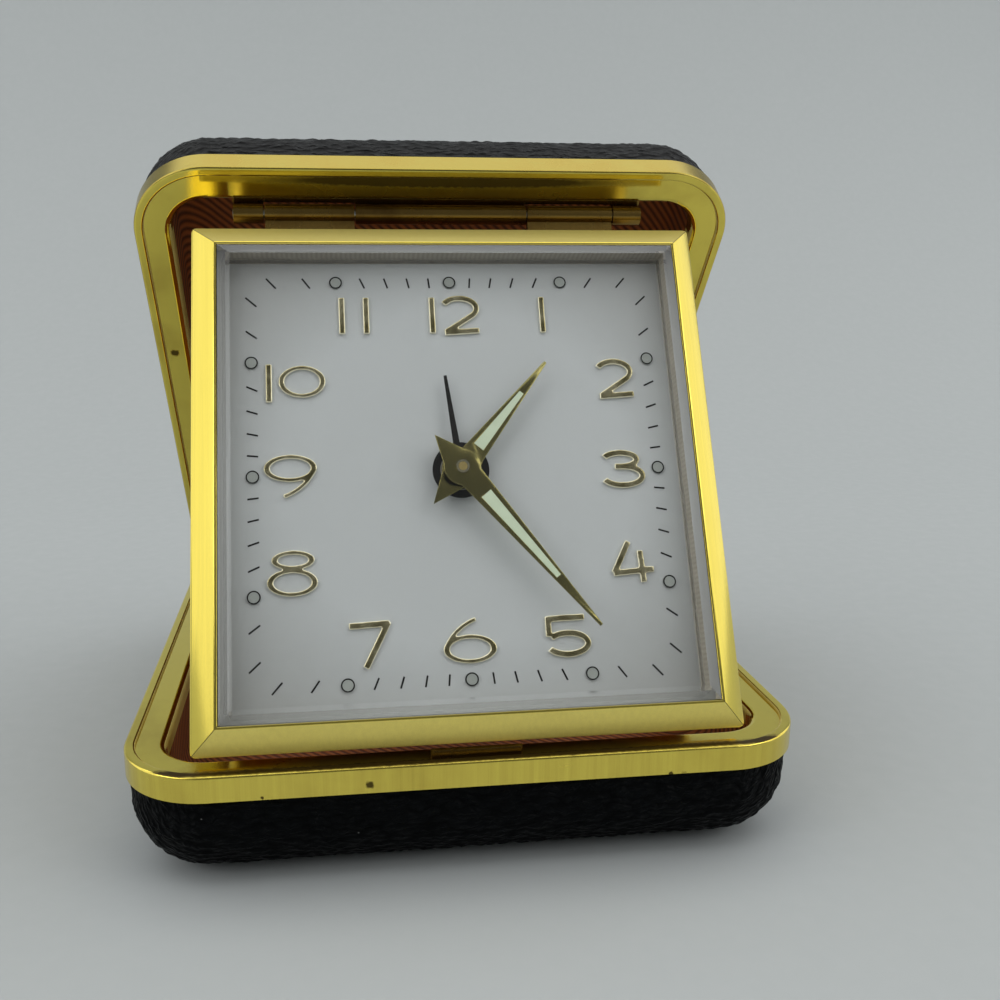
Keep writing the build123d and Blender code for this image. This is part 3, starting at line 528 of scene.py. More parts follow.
@dataclass(frozen=True)
class BrushedBrass(Finish):
    """Lacquered brass with brush lines, cloudy tarnish, spots, hairline scratches and any strips of painted dark
    reflection.

    Attributes:
        brush: strength of the brush lines.
        streak: share of the shade that the brush lines carry.
        tarnish: share of the tarnish that shows.
        spots: share of the dark spots that shows.
        stains_and_reflections: larger spots, and strips of painted dark reflection, at places of their own.
        rust_and_reflection: colour of the spots and of the strips of painted dark reflection.
    """

    metallic: float = 1.0
    brush: float = 0.25
    streak: float = 0.16
    tarnish: float = 0.35
    spots: float = 0.8
    stains_and_reflections: tuple[StainAndReflection, ...] = ()
    rust_and_reflection: Colour = (0.05, 0.03, 0.012)

    def add_stains_and_reflections(self, graph: Graph, vector: object, spots_and_reflections: object) -> bpy.types.NodeSocket:
        """Add the larger stains and the strips of painted dark reflection to the mask of dark spots.

        Args:
            graph: the material's graph.
            vector: coordinates in millimetres, turned to the piece's own up.
            spots_and_reflections: mask of the small spots.

        Returns:
            The joined mask.
        """
        ragged = graph.warp(vector, 2.2, 0.25)
        turn = Matrix.Rotation(self.pitch, 3, "X")
        for patch in self.stains_and_reflections:
            shape = Vector((1.0 / patch.length, 1.0, 1.0))
            spot = graph.vector("MULTIPLY", ragged, tuple(shape))
            away = graph.vector("DISTANCE", spot, tuple((turn @ Vector(patch.place)) * shape))
            mask = graph.span(away, patch.radius * 0.6, patch.radius, patch.strength, 0.0)
            spots_and_reflections = graph.math("MAXIMUM", spots_and_reflections, mask)
        return spots_and_reflections

    def seams(self, graph: Graph, vector: object, spots_and_reflections: object) -> bpy.types.NodeSocket:
        """Add dirt in the piece's joints to the mask of dark spots, none on plain brass."""
        return spots_and_reflections

    def material(self) -> bpy.types.Material:
        """Build the brass."""
        material, graph, shader, vector = self.start()
        lines = self.effect(graph, Effect.BRUSH, vector)
        marks = self.effect(graph, Effect.TARNISH, vector)
        dulled = graph.math("MULTIPLY", marks.outputs["Cloud"], self.tarnish)
        colour = graph.blend(dulled, self.colour, self.shade)
        colour = graph.blend(graph.span(lines.outputs["Shade"], 0.35, 0.65, 0.0, self.streak), colour, self.shade)
        spots_and_reflections = graph.math("MULTIPLY", marks.outputs["Spots"], self.spots)
        spots_and_reflections = self.seams(graph, vector, self.add_stains_and_reflections(graph, vector, spots_and_reflections))
        # The rust-brown colour covers the spots, the stains, any dirt in joints and the strips of painted dark
        # reflection.
        graph.feed(shader.inputs["Base Color"], graph.blend(spots_and_reflections, colour, self.rust_and_reflection))
        rough = graph.math("MULTIPLY_ADD", dulled, 0.12, self.rough)
        rough = graph.math("MULTIPLY_ADD", marks.outputs["Scratches"], 0.08, rough)
        graph.feed(shader.inputs["Roughness"], graph.math("MULTIPLY_ADD", spots_and_reflections, 0.4, rough))
        self.bump(graph, shader, lines.outputs["Height"], self.brush, 0.02 * MM)
        return material


@dataclass(frozen=True)
class MitredBrass(BrushedBrass):
    """Brushed brass of a square frame, with dark lines in its four mitred corners.

    Attributes:
        middle: height of the frame's middle along its own up, in millimetres.
        seam: half width of a line, in millimetres.
    """

    middle: float = 0.0
    seam: float = 0.07

    def seams(self, graph: Graph, vector: object, spots_and_reflections: object) -> bpy.types.NodeSocket:
        """Darken the diagonals where the frame's sides meet.

        Args:
            graph: the material's graph.
            vector: coordinates in millimetres, turned to the frame's own up.
            spots_and_reflections: mask of the dark spots and the strips of painted dark reflection.

        Returns:
            The joined mask.
        """
        parts = graph.add("SeparateXYZ")
        graph.feed(parts.inputs[0], vector)
        across = graph.math("ABSOLUTE", parts.outputs["X"])
        up = graph.math("ABSOLUTE", graph.math("SUBTRACT", parts.outputs["Z"], self.middle))
        away = graph.math("ABSOLUTE", graph.math("SUBTRACT", across, up))
        return graph.math("MAXIMUM", spots_and_reflections, graph.span(away, self.seam * 0.5, self.seam, 0.85, 0.0))


@dataclass(frozen=True)
class GrainedLeather(Finish):
    """Black leathercloth whose grain follows the flat sheet that it was folded from."""

    def material(self) -> bpy.types.Material:
        """Build the leather."""
        material, graph, shader, _ = self.start()
        sheet = graph.add("UVMap", uv_map=SHEET_MAP).outputs["UV"]
        grain = self.effect(graph, Effect.LEATHER, sheet)
        lint = self.effect(graph, Effect.LINT, sheet)
        colour = graph.blend(grain.outputs["Crests"], self.colour, self.shade)
        specks = graph.math("MULTIPLY", lint.outputs["Specks"], 0.25)
        graph.feed(shader.inputs["Base Color"], graph.blend(specks, colour, (0.5, 0.5, 0.48)))
        graph.feed(shader.inputs["Roughness"], graph.span(grain.outputs["Height"], 0.1, 1.1, 0.7, self.rough))
        self.bump(graph, shader, grain.outputs["Height"], 1.0, 0.3 * MM)
        return material


@dataclass(frozen=True)
class RibbedCloth(Finish):
    """Ribbed lining cloth glued on card.

    Attributes:
        spread: 1 along the floor's two axes and 0 along its depth, so that ribs run straight up the walls.
    """

    spread: Colour = (1.0, 1.0, 0.0)

    def material(self) -> bpy.types.Material:
        """Build the cloth."""
        material, graph, shader, vector = self.start()
        ribs = self.effect(graph, Effect.CLOTH, graph.vector("MULTIPLY", vector, self.spread))
        graph.feed(shader.inputs["Base Color"], graph.blend(ribs.outputs["Shade"], self.shade, self.colour))
        shader.inputs["Sheen Weight"].default_value = 0.05
        self.bump(graph, shader, ribs.outputs["Height"], 0.8, 0.1 * MM)
        return material


@dataclass(frozen=True)
class SatinDial(Finish):
    """Silvered dial with a fine satin texture, painted shade towards its corners and a slow random tone.

    Attributes:
        middle: height of the dial's middle along its own up, in millimetres.
        unshaded: radius of the part that is left without the painted shade, in millimetres.
        corner: distance from the middle to a corner, in millimetres.
    """

    middle: float = 0.0
    unshaded: float = 20.0
    corner: float = 37.0

    def material(self) -> bpy.types.Material:
        """Build the dial's surface."""
        material, graph, shader, vector = self.start()
        flat = graph.vector("MULTIPLY", vector, (1.0, 0.0, 1.0))
        away = graph.vector("DISTANCE", flat, (0.0, 0.0, self.middle))
        # Painted shade that darkens the dial towards its corners, with a slow random tone on top.
        corner_shade = graph.span(away, self.unshaded, self.corner, 0.0, 1.0)
        corner_shade = graph.math("MULTIPLY_ADD", graph.noise(vector, 0.05, 3.0), 0.12, corner_shade)
        lint = self.effect(graph, Effect.LINT, vector)
        colour = graph.blend(corner_shade, self.colour, self.shade)
        specks = graph.math("MULTIPLY", lint.outputs["Specks"], 0.25)
        graph.feed(shader.inputs["Base Color"], graph.blend(specks, colour, (0.2, 0.2, 0.2)))
        self.bump(graph, shader, graph.noise(vector, 14.0, 2.0), 0.12, 0.02 * MM)
        return material


@dataclass(frozen=True)
class PillowGilt(Finish):
    """Gilt of raised numerals, with a painted glint on their rounded rims and a painted dark reflection on their
    tops.

    Attributes:
        top: level of the tops along the dial's outward direction, in millimetres.
        rim: depth of the rims below it, in millimetres.
        rim_metal: metallic share of the rims, kept low as a painted glint that shows from all sides.
    """

    top: float = 0.0
    rim: float = 0.06
    rim_metal: float = 0.3

    def material(self) -> bpy.types.Material:
        """Build the gilt."""
        material, graph, shader, vector = self.start()
        parts = graph.add("SeparateXYZ")
        graph.feed(parts.inputs[0], vector)
        level = graph.math("MULTIPLY", parts.outputs["Y"], -1.0)
        # Painted dark reflection on the tops, and a painted glint on the less metallic rims.
        painted_dark_top = graph.span(level, self.top - self.rim, self.top - self.rim * 0.25, 0.0, 1.0)
        painted_dark_top = graph.math("MULTIPLY", painted_dark_top, graph.span(graph.noise(vector, 0.6), 0.3, 0.7, 0.7, 1.0))
        graph.feed(shader.inputs["Base Color"], graph.blend(painted_dark_top, self.colour, self.shade))
        graph.feed(shader.inputs["Metallic"], graph.span(painted_dark_top, 0.0, 1.0, self.rim_metal, self.metallic))
        return material


@dataclass(frozen=True)
class RibbedEdge(Finish):
    """Frosted edge of the crystal with fine moulded ribs."""

    def material(self) -> bpy.types.Material:
        """Build the edge."""
        material, graph, shader, vector = self.start()
        ribs = self.effect(graph, Effect.RIBS, vector).outputs["Height"]
        graph.feed(shader.inputs["Base Color"], graph.blend(ribs, self.shade, self.colour))
        self.bump(graph, shader, ribs, 0.3, 0.03 * MM)
        return material


@dataclass(frozen=True)
class ClearCrystal(Finish):
    """Clear moulded crystal that lets the light reach the dial."""

    bend: float = 1.46

    def material(self) -> bpy.types.Material:
        """Build the crystal."""
        material, graph, shader, vector = self.start()
        shader.inputs["Transmission Weight"].default_value = 1.0
        shader.inputs["IOR"].default_value = self.bend
        hair = self.effect(graph, Effect.TARNISH, vector).outputs["Scratches"]
        graph.feed(shader.inputs["Roughness"], graph.math("MULTIPLY", hair, 0.12))
        output = material.node_tree.nodes["Material Output"]
        clear = graph.add("BsdfTransparent")
        clear.inputs["Color"].default_value = (*self.shade, 1.0)
        mix = graph.add("MixShader")
        graph.feed(mix.inputs[0], graph.add("LightPath").outputs["Is Shadow Ray"])
        graph.feed(mix.inputs[1], shader.outputs[0])
        graph.feed(mix.inputs[2], clear.outputs[0])
        graph.feed(output.inputs["Surface"], mix.outputs[0])
        return material


class Finishes:
    """Every finish of the clock, made once."""

    def __init__(self, places: dict[Body, Station]) -> None:
        """Build the materials.

        Args:
            places: stations whose own up the brush lines and ribs follow.
        """
        gold, olive = (0.88, 0.72, 0.13), (0.4, 0.27, 0.05)
        red, brown = (0.42, 0.125, 0.03), (0.06, 0.014, 0.005)
        clock = places[Body.CLOCK]
        lean, lid = clock.pitch(), places[Body.LID].pitch()
        turn = Matrix.Rotation(lean, 3, "X")
        middle = (turn @ clock.origin).z / MM
        front_stains = (
            StainAndReflection((-11.57, -39.0, 12.05), 0.5), StainAndReflection((-22.68, -39.0, 11.4), 0.26), StainAndReflection((21.0, -39.0, 11.2), 0.3),
        )
        self.base_band = BrushedBrass(
            "base_band_brass", gold, olive, 0.2, streak=0.3, tarnish=0.3, stains_and_reflections=front_stains
        ).material()
        self.base_flange = BrushedBrass(
            "base_flange_brass", gold, olive, 0.1, brush=0.04, streak=0.04, tarnish=0.45, spots=0.5,
            # The two strips along the flange's front and the lip's top are painted dark reflections, not stains.
            stains_and_reflections=(StainAndReflection((0.0, -36.4, 13.6), 3.4, 8.0, 0.8), StainAndReflection((0.0, -37.9, 13.8), 1.3, 60.0, 0.97)),
        ).material()
        # The lid's band is the same brass as the base's band but darker: painted shade, so that it renders less
        # bright under the lamp above.
        self.lid_band = BrushedBrass(
            "lid_band_brass", (0.385, 0.315, 0.068), olive, 0.24, pitch=lid, streak=0.3, tarnish=0.6
        ).material()
        self.lid_flange = BrushedBrass(
            "lid_flange_brass", gold, olive, 0.08, pitch=lid, brush=0.04, streak=0.04, tarnish=0.5,
            stains_and_reflections=(
                # The small spot is a stain; the two wide strips along the top of the lid's flange are painted dark
                # reflections.
                StainAndReflection((-35.69, 9.89, 52.99), 0.7), StainAndReflection((0.0, -6.0, 73.8), 3.8, 7.0, 0.45),
                StainAndReflection((0.0, -6.9, 74.9), 1.2, 23.0, 0.9),
            ),
        ).material()
        # The bezel's head and foot are the same brass as its sides, but less metallic, the head darker and the foot
        # brighter: painted shade on the head and painted light on the foot.
        self.bezel_sides, self.bezel_head, self.painted_light_bezel_foot = (
            MitredBrass(
                name, colour, olive, rough, metallic, lean,
                brush=0.3, streak=0.14, tarnish=0.06, spots=0.35, middle=middle,
            ).material()
            for name, colour, rough, metallic in (
                ("bezel_side_brass", gold, 0.18, 1.0),
                ("bezel_head_brass", (0.51, 0.43, 0.115), 0.42, 0.55),
                ("bezel_foot_painted_light", (1.0, 0.84, 0.21), 0.42, 0.55),
            )
        )
        # The lip's inner wall gets a bright, non-metallic colour: painted light that hides the shade in the step.
        self.step = Finish("step_painted_light", (0.72, 0.6, 0.2), (0.6, 0.5, 0.16), 0.5).material()
        # The lip's inner walls across the front and back get a near-black colour: a painted dark reflection.
        self.slot = Finish("slot_painted_reflection", (0.05, 0.014, 0.006), (0.03, 0.008, 0.004), 0.4).material()
        self.hinge = BrushedBrass(
            "hinge_brass", (0.3, 0.19, 0.05), (0.1, 0.05, 0.015), 0.26, brush=0.1, tarnish=0.9
        ).material()
        self.back = BrushedBrass(
            "gilt_back", (0.78, 0.64, 0.24), olive, 0.34, pitch=lean, brush=0.3, spots=0.3
        ).material()
        self.turned = BrushedBrass("turned_brass", (0.8, 0.64, 0.26), olive, 0.28, pitch=lean, spots=0.2).material()
        self.steel = Finish("plain_steel", (0.6, 0.61, 0.62), (0.42, 0.42, 0.42), 0.3, 1.0).material()
        self.blued = Finish("blued_steel", (0.1, 0.14, 0.32), (0.05, 0.07, 0.16), 0.25, 1.0).material()
        # One leathercloth covers both halves, but the base's skin gets less gloss and the lid's more: painted shade
        # on the base's front and painted highlights on the lid's grain.
        self.skins = {
            body: GrainedLeather(
                f"{body.value}_leathercloth", (0.0004, 0.0007, 0.0009), (0.0024, 0.003, 0.0035), 0.3, gloss=gloss
            ).material()
            for body, gloss in ((Body.BASE, 0.06), (Body.LID, 0.22))
        }
        self.base_cloth = RibbedCloth("base_ribbed_cloth", red, brown, 0.85).material()
        self.lid_cloth = RibbedCloth(
            "lid_ribbed_cloth", red, brown, 0.85, pitch=lid, spread=(1.0, 0.0, 1.0)
        ).material()
        # The dial carries painted shade towards its corners.
        self.dial = SatinDial(
            "silvered_dial", (0.48, 0.51, 0.515), (0.28, 0.29, 0.28), 0.45, pitch=lean, middle=middle
        ).material()
        raised = -min((turn @ vert.co).y for vert in frame["nodes"]["numerals"].data.vertices) / MM
        # The numerals' dark tops are a painted reflection, and their bright, less metallic rims a painted glint.
        self.numerals = PillowGilt(
            "pillowed_gilt", (0.98, 0.93, 0.7), (0.26, 0.22, 0.08), 0.14, 1.0, lean, top=raised
        ).material()
        self.gilt = Finish("polished_gilt", (0.9, 0.84, 0.64), (0.8, 0.73, 0.5), 0.1, 1.0).material()
        self.hand = Finish("gilt_hand", (0.36, 0.32, 0.12), (0.26, 0.23, 0.08), 0.16, 1.0).material()
        self.glow = Finish("luminous_paint", (0.58, 0.68, 0.5), (0.5, 0.6, 0.44), 0.7).material()
        self.dot = Finish("luminous_dot", (0.3, 0.33, 0.31), (0.25, 0.27, 0.25), 0.6).material()
        self.print = Finish("printed_black", (0.006, 0.006, 0.006), (0.01, 0.009, 0.008), 0.5, gloss=0.1).material()
        self.pale = Finish("pale_print", (0.26, 0.25, 0.21), (0.2, 0.19, 0.16), 0.5).material()
        self.crystal = ClearCrystal("clear_crystal", (1.0, 1.0, 1.0), (0.97, 0.97, 0.96), 0.0).material()
        self.edge = RibbedEdge("frosted_edge", (0.42, 0.39, 0.31), (0.33, 0.3, 0.24), 0.5, pitch=lean).material()

    def lay(self, material: bpy.types.Material, *nodes: str) -> None:
        """Put one finish on whole CAD pieces.

        Args:
            material: the finish.
            nodes: names of the pieces.
        """
        for name in nodes:
            slots = frame["nodes"][name].data.materials
            slots.clear()
            slots.append(material)
            LOG.info("finish %s on %s", material.name, name)


def add_piece(
    name: str, mesh: bmesh.types.BMesh, body: Body, material: bpy.types.Material
) -> bpy.types.Object:
    """Turn a finished bmesh into a piece that rides on a body.

    Args:
        name: the piece's name.
        mesh: its geometry, in the row frame.
        body: the body it rides on.
        material: its finish.

    Returns:
        The new object.
    """
    data = bpy.data.meshes.new(name)
    for face in mesh.faces:
        face.smooth = True
    mesh.to_mesh(data)
    mesh.free()
    data.set_sharp_from_angle(angle=CREASE_ANGLE)
    piece = bpy.data.objects.new(name, data)
    bpy.context.scene.collection.objects.link(piece)
    data.materials.append(material)
    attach(piece, body.value)
    LOG.info("piece %s: %d faces", name, len(data.polygons))
    return piece


def merged_copy(node: str) -> bmesh.types.BMesh:
    """Copy a CAD piece's mesh with its loose triangles joined.

    Args:
        node: the piece's name.

    Returns:
        The joined mesh.
    """
    mesh = bmesh.new()
    mesh.from_mesh(frame["nodes"][node].data)
    bmesh.ops.remove_doubles(mesh, verts=mesh.verts, dist=0.005 * MM)
    return mesh


def even_copy(
    node: str, voxel: float, place: Matrix, adjust: Callable[[bmesh.types.BMesh], None] | None = None
) -> bmesh.types.BMesh:
    """Copy a CAD piece as an evenly spaced closed mesh.

    Args:
        node: the piece's name.
        voxel: spacing of the mesh.
        place: matrix from the piece's own directions, along which the mesh is spaced, to the row frame.
        adjust: small change to make to the copy first.

    Returns:
        The even mesh, in the piece's own directions.
    """
    plain = merged_copy(node)
    bmesh.ops.transform(plain, matrix=place.inverted(), verts=plain.verts)
    if adjust:
        adjust(plain)
    start = bpy.data.objects.new(f"{node}_start", bpy.data.meshes.new(f"{node}_start"))
    plain.to_mesh(start.data)
    plain.free()
    bpy.context.scene.collection.objects.link(start)
    remesh = start.modifiers.new("even_mesh", "REMESH")
    remesh.mode = "VOXEL"
    remesh.voxel_size = voxel
    even = bmesh.new()
    even.from_object(start, bpy.context.evaluated_depsgraph_get())
    bpy.data.objects.remove(start)
    even.normal_update()
    return even


def softened_copy(
    node: str, width: float, segments: int, pick: Callable[[bmesh.types.BMEdge], bool]
) -> bmesh.types.BMesh:
    """Copy a CAD piece and round those of its sharp outer edges that are picked.

    Args:
        node: the piece's name.
        width: width of the rounding.
        segments: number of faces across it.
        pick: says whether an edge is rounded.

    Returns:
        The rounded mesh.
    """
    mesh = merged_copy(node)
    bmesh.ops.dissolve_limit(mesh, angle_limit=FLAT_ANGLE, verts=mesh.verts, edges=mesh.edges)
    mesh.normal_update()
    picked = [
        edge
        for edge in mesh.edges
        if edge.is_manifold and edge.calc_face_angle_signed() > SHARP_ANGLE and pick(edge)
    ]
    bmesh.ops.bevel(
        mesh, geom=picked, offset=width, offset_type="OFFSET", affect="EDGES", segments=segments, profile=0.5,
        material=-1, clamp_overlap=False,
    )
    return mesh


def add_ring(mesh: bmesh.types.BMesh, place: Matrix, radius: float, width: float, height: float) -> None:
    """Add a flat ring by spinning its section.

    Args:
        mesh: the mesh it is added to.
        place: matrix from the ring's own plane to the row frame.
        radius: middle radius.
        width: width of the ring.
        height: its thickness.
    """
    before = len(mesh.verts)
    section = [
        mesh.verts.new((radius + side * width / 2, 0.0, level))
        for side, level in ((-1, 0.0), (1, 0.0), (1, height), (-1, height))
    ]
    outline = [mesh.edges.new(pair) for pair in zip(section, section[1:] + section[:1])]
    bmesh.ops.spin(
        mesh, geom=section + outline, cent=(0, 0, 0), axis=(0, 0, 1), angle=2 * math.pi, steps=RING_STEPS,
        use_merge=True,
    )
    mesh.verts.index_update()
    mesh.verts.ensure_lookup_table()
    bmesh.ops.transform(mesh, matrix=place, verts=mesh.verts[before:])


class RimFinish(Enum):
    """Material slots of a brass frame."""

    BAND = 0
    FLANGE = 1
    # Painted light on the lip's inner walls.
    STEP = 2
    # Painted dark reflection on the lip's inner walls across the front and back.
    SLOT = 3


@dataclass
class CaseHalf:
    """One half of the folding case: skin, brass frame, lining and hinge leaf.

    Attributes:
        half: name that its pieces start with.
        body: the body it rides on.
        station: its mouth, with out pointing out of the cavity.
        voxel: spacing of the skin's mesh.
        thinning: rounds of thinning on the skin's hidden inside.
        fold: radius that the skin's edge is folded over.
        ridge: length and width of a ridge of the grain.
        grain: depth of the grain.
        wander: share of a ridge by which the grain strays.
        step_reach: how far in from the rim's outside the lip's inner wall is looked for.
    """

    half: str
    body: Body
    station: Station
    voxel: float = 0.38 * MM
    thinning: int = 4
    fold: float = 8.4 * MM
    ridge: tuple[float, float] = (1.8 * MM, 0.85 * MM)
    grain: float = 0.2 * MM
    wander: float = 0.6
    step_reach: float = 4.5 * MM

    def sheet(self, point: Vector, half: Vector, floor: float) -> tuple[Vector, Vector]:
        """Unfold a point of the skin onto the flat sheet that it was cut from.

        Args:
            point: the point along the half's own directions, from the middle of its plan.
            half: half width and half length of the plan.
            floor: level of the flat outer face.

        Returns:
            The place on the sheet, and the direction away from the skin's outside.
        """
        plan = point.xy
        core = Vector((half.x - self.fold, half.y - self.fold))
        held = Vector(max(-limit, min(limit, value)) for value, limit in zip(plan, core))
        rise = point.z - floor
        beyond = plan - held
        turn = math.atan2(beyond.length, max(self.fold - rise, 0.0))
        run = self.fold * turn + max(rise - self.fold, 0.0)
        aside = beyond.normalized()
        away = Vector((*(aside * math.sin(turn)), -math.cos(turn)))
        return held + aside * run, away

    def skin(self, material: bpy.types.Material) -> bpy.types.Object:
        """Make the grained skin from the plain one, pressed inwards only.

        Args:
            material: the leather.

        Returns:
            The skin.
        """
        node = f"{self.half}_leather"
        place = self.station.matrix()
        even = even_copy(node, self.voxel, place)
        self.press(even)
        bmesh.ops.transform(even, matrix=place, verts=even.verts)
        piece = add_piece(f"{self.half}_skin", even, self.body, material)
        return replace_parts(piece, node)

    def press(self, mesh: bmesh.types.BMesh) -> None:
        """Press the grain into the outside, map the sheet and thin out the hidden inside.

        Args:
            mesh: the evenly meshed skin, along the half's own directions.
        """
        low = Vector(min(vert.co[axis] for vert in mesh.verts) for axis in range(3))
        high = Vector(max(vert.co[axis] for vert in mesh.verts) for axis in range(3))
        middle, half = (low + high) / 2, (high - low) / 2
        middle.z = 0.0
        unfolded = [self.sheet(vert.co - middle, half, low.z) for vert in mesh.verts]
        layer = mesh.loops.layers.uv.new(SHEET_MAP)
        hidden = []
        for face in mesh.faces:
            for loop in face.loops:
                loop[layer].uv = unfolded[loop.vert.index][0] / MM
            if face.normal.dot(unfolded[face.verts[0].index][1]) < 0.0:
                hidden.append(face)
        for vert, (spot, away) in zip(mesh.verts, unfolded):
            if vert.normal.dot(away) > 0.3:
                vert.co -= vert.normal * self.grain * self.crease(spot)
        inside = set(hidden)
        verts = {vert for face in hidden for vert in face.verts if inside.issuperset(vert.link_faces)}
        bmesh.ops.unsubdivide(mesh, verts=list(verts), iterations=self.thinning)

    def crease(self, spot: Vector) -> float:
        """Depth of the grain at a place on the sheet, from 0 on a crest to 1 in a crease.

        Args:
            spot: the place on the sheet.

        Returns:
            The depth as a share.
        """
        length, width = self.ridge
        cell = Vector((spot.x / length, spot.y / width, 0.0))
        cell += noise.noise_vector(cell * 0.45) * self.wander
        distances, _ = noise.voronoi(cell)
        return 1.0 - min(1.0, (distances[1] - distances[0]) * 1.5)

    def dress(self, finishes: Finishes, band: bpy.types.Material, flange: bpy.types.Material) -> None:
        """Give the brass frame its two finishes and the half its other ones.

        Args:
            finishes: the clock's finishes.
            band: finish of the outer band.
            flange: finish of the flat flange and the rolled edge.
        """
        rim = frame["nodes"][f"{self.half}_rim"].data
        rim.materials.clear()
        for material in (band, flange, finishes.step, finishes.slot):
            rim.materials.append(material)
        turn = self.station.matrix().inverted()
        spots = [turn @ vert.co for vert in rim.vertices]
        low = Vector(min(spot[axis] for spot in spots) for axis in range(3))
        high = Vector(max(spot[axis] for spot in spots) for axis in range(3))
        for face in rim.polygons:
            spot = turn @ face.center - (low + high) / 2
            normal = turn.to_3x3() @ face.normal
            gap = min((high - low)[axis] / 2 - abs(spot[axis]) for axis in (0, 1))
            if abs(normal.z) > 0.75:
                face.material_index = RimFinish.FLANGE.value
            # Inner walls of the lip: painted light on the step walls, and a painted dark reflection on the slot walls
            # across the front and back.
            elif gap < self.step_reach and normal.xy.dot(spot.xy) < 0.0:
                face.material_index = (RimFinish.SLOT if abs(normal.y) > 0.95 else RimFinish.STEP).value
            else:
                face.material_index = RimFinish.BAND.value
        cloth = finishes.base_cloth if self.body is Body.BASE else finishes.lid_cloth
        finishes.lay(cloth, f"{self.half}_lining")
        finishes.lay(finishes.hinge, f"{self.half}_hinge_leaf")
        finishes.lay(finishes.steel, f"{self.half}_tray")


@dataclass
class Dial:
    """Dial with its printed track, ringed hour dots and bevelled numerals.

    Attributes:
        station: the dial's middle on the clock's axis.
        drop: depth of the dial's face behind the station.
        track_inner: half side of the square that the strokes start on.
        track_outer: half side of the square that they end on.
        stroke: width of a stroke.
        ink: thickness of the print.
        dot_track: half side of the square that the hour dots stand on.
        ring_radius: middle radius of the ring round a dot.
        ring_width: width of that ring.
        voxel: spacing of the numerals' mesh.
        pillow: rounds of smoothing that pillow the numerals.
        nought: middle of the 10's nought.
        nought_half: half width and half height of its stroke's middle line.
        nought_reach: share of those that its stroke lies within.
        nought_shift: how far it is moved to the right.
        nought_width: share of its width that it keeps.
    """

    station: Station
    drop: float
    track_inner: float = 22.75 * MM
    track_outer: float = 24.0 * MM
    stroke: float = 0.2 * MM
    ink: float = 0.02 * MM
    dot_track: float = 23.4 * MM
    dot_top: float = 0.17 * MM
    ring_radius: float = 0.68 * MM
    ring_width: float = 0.15 * MM
    voxel: float = 0.075 * MM
    pillow: int = 9
    nought: tuple[float, float] = (-18.1 * MM, 11.2 * MM)
    nought_half: tuple[float, float] = (2.75 * MM, 1.85 * MM)
    nought_reach: float = 0.28
    nought_shift: float = 0.4 * MM
    nought_width: float = 0.93
    minutes: int = 60
    hour_step: int = 5

    def place(self) -> Matrix:
        """Matrix from dial coordinates to the row frame."""
        return self.station.matrix() @ Matrix.Translation((0.0, 0.0, -self.drop))

    def track(self, finishes: Finishes) -> bpy.types.Object:
        """Print the minute strokes between two squares.

        Args:
            finishes: the clock's finishes.

        Returns:
            The strokes as one piece.
        """
        mesh = bmesh.new()
        for minute in range(self.minutes):
            if minute % self.hour_step == 0:
                continue
            turn = 2.0 * math.pi * minute / self.minutes
            reach = max(abs(math.sin(turn)), abs(math.cos(turn)))
            length = (self.track_outer - self.track_inner) / reach
            middle = (self.track_outer + self.track_inner) / 2 / reach
            made = bmesh.ops.create_cube(mesh, size=1.0)["verts"]
            shape = (
                self.place()
                @ Matrix.Rotation(-turn, 4, "Z")
                @ Matrix.Translation((0.0, middle, self.ink / 2))
                @ Matrix.Diagonal((self.stroke, length, self.ink, 1.0))
            )
            bmesh.ops.transform(mesh, matrix=shape, verts=made)
        return add_piece("minute_track", mesh, Body.CLOCK, finishes.print)

    def rings(self, finishes: Finishes) -> bpy.types.Object:
        """Print a ring round every hour dot.

        Args:
            finishes: the clock's finishes.

        Returns:
            The rings as one piece.
        """
        mesh = bmesh.new()
        for hour in range(self.minutes // self.hour_step):
            turn = 2.0 * math.pi * hour * self.hour_step / self.minutes
            reach = self.dot_track / max(abs(math.sin(turn)), abs(math.cos(turn)))
            spot = Matrix.Translation((reach * math.sin(turn), reach * math.cos(turn), self.dot_top))
            add_ring(mesh, self.place() @ spot, self.ring_radius, self.ring_width, self.ink)
        bmesh.ops.recalc_face_normals(mesh, faces=mesh.faces)
        return add_piece("hour_rings", mesh, Body.CLOCK, finishes.print)

    def part_ten(self, mesh: bmesh.types.BMesh) -> None:
        """Narrow the 10's nought and part it from the stroke beside it.

        Args:
            mesh: the numerals, in dial coordinates.
        """
        middle, half = Vector(self.nought), Vector(self.nought_half)
        ring = []
        for vert in mesh.verts:
            away = vert.co.xy - middle
            if abs(math.hypot(away.x / half.x, away.y / half.y) - 1.0) < self.nought_reach:
                ring.append(vert)
        shape = (
            Matrix.Translation((middle.x + self.nought_shift, middle.y, 0.0))
            @ Matrix.Diagonal((self.nought_width, 1.0, 1.0, 1.0))
            @ Matrix.Translation((-middle.x, -middle.y, 0.0))
        )
        bmesh.ops.transform(mesh, matrix=shape, verts=ring)

    def numerals(self, finishes: Finishes) -> bpy.types.Object:
        """Pillow the plain numerals into rounded gilt ones.

        Args:
            finishes: the clock's finishes.

        Returns:
            The numerals.
        """
        mesh = even_copy("numerals", self.voxel, self.place(), self.part_ten)
        for _ in range(self.pillow):
            bmesh.ops.smooth_vert(
                mesh, verts=mesh.verts, factor=0.5, use_axis_x=True, use_axis_y=True, use_axis_z=True
            )
        bmesh.ops.transform(mesh, matrix=self.place(), verts=mesh.verts)
        piece = add_piece("raised_numerals", mesh, Body.CLOCK, finishes.numerals)
        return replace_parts(piece, "numerals")


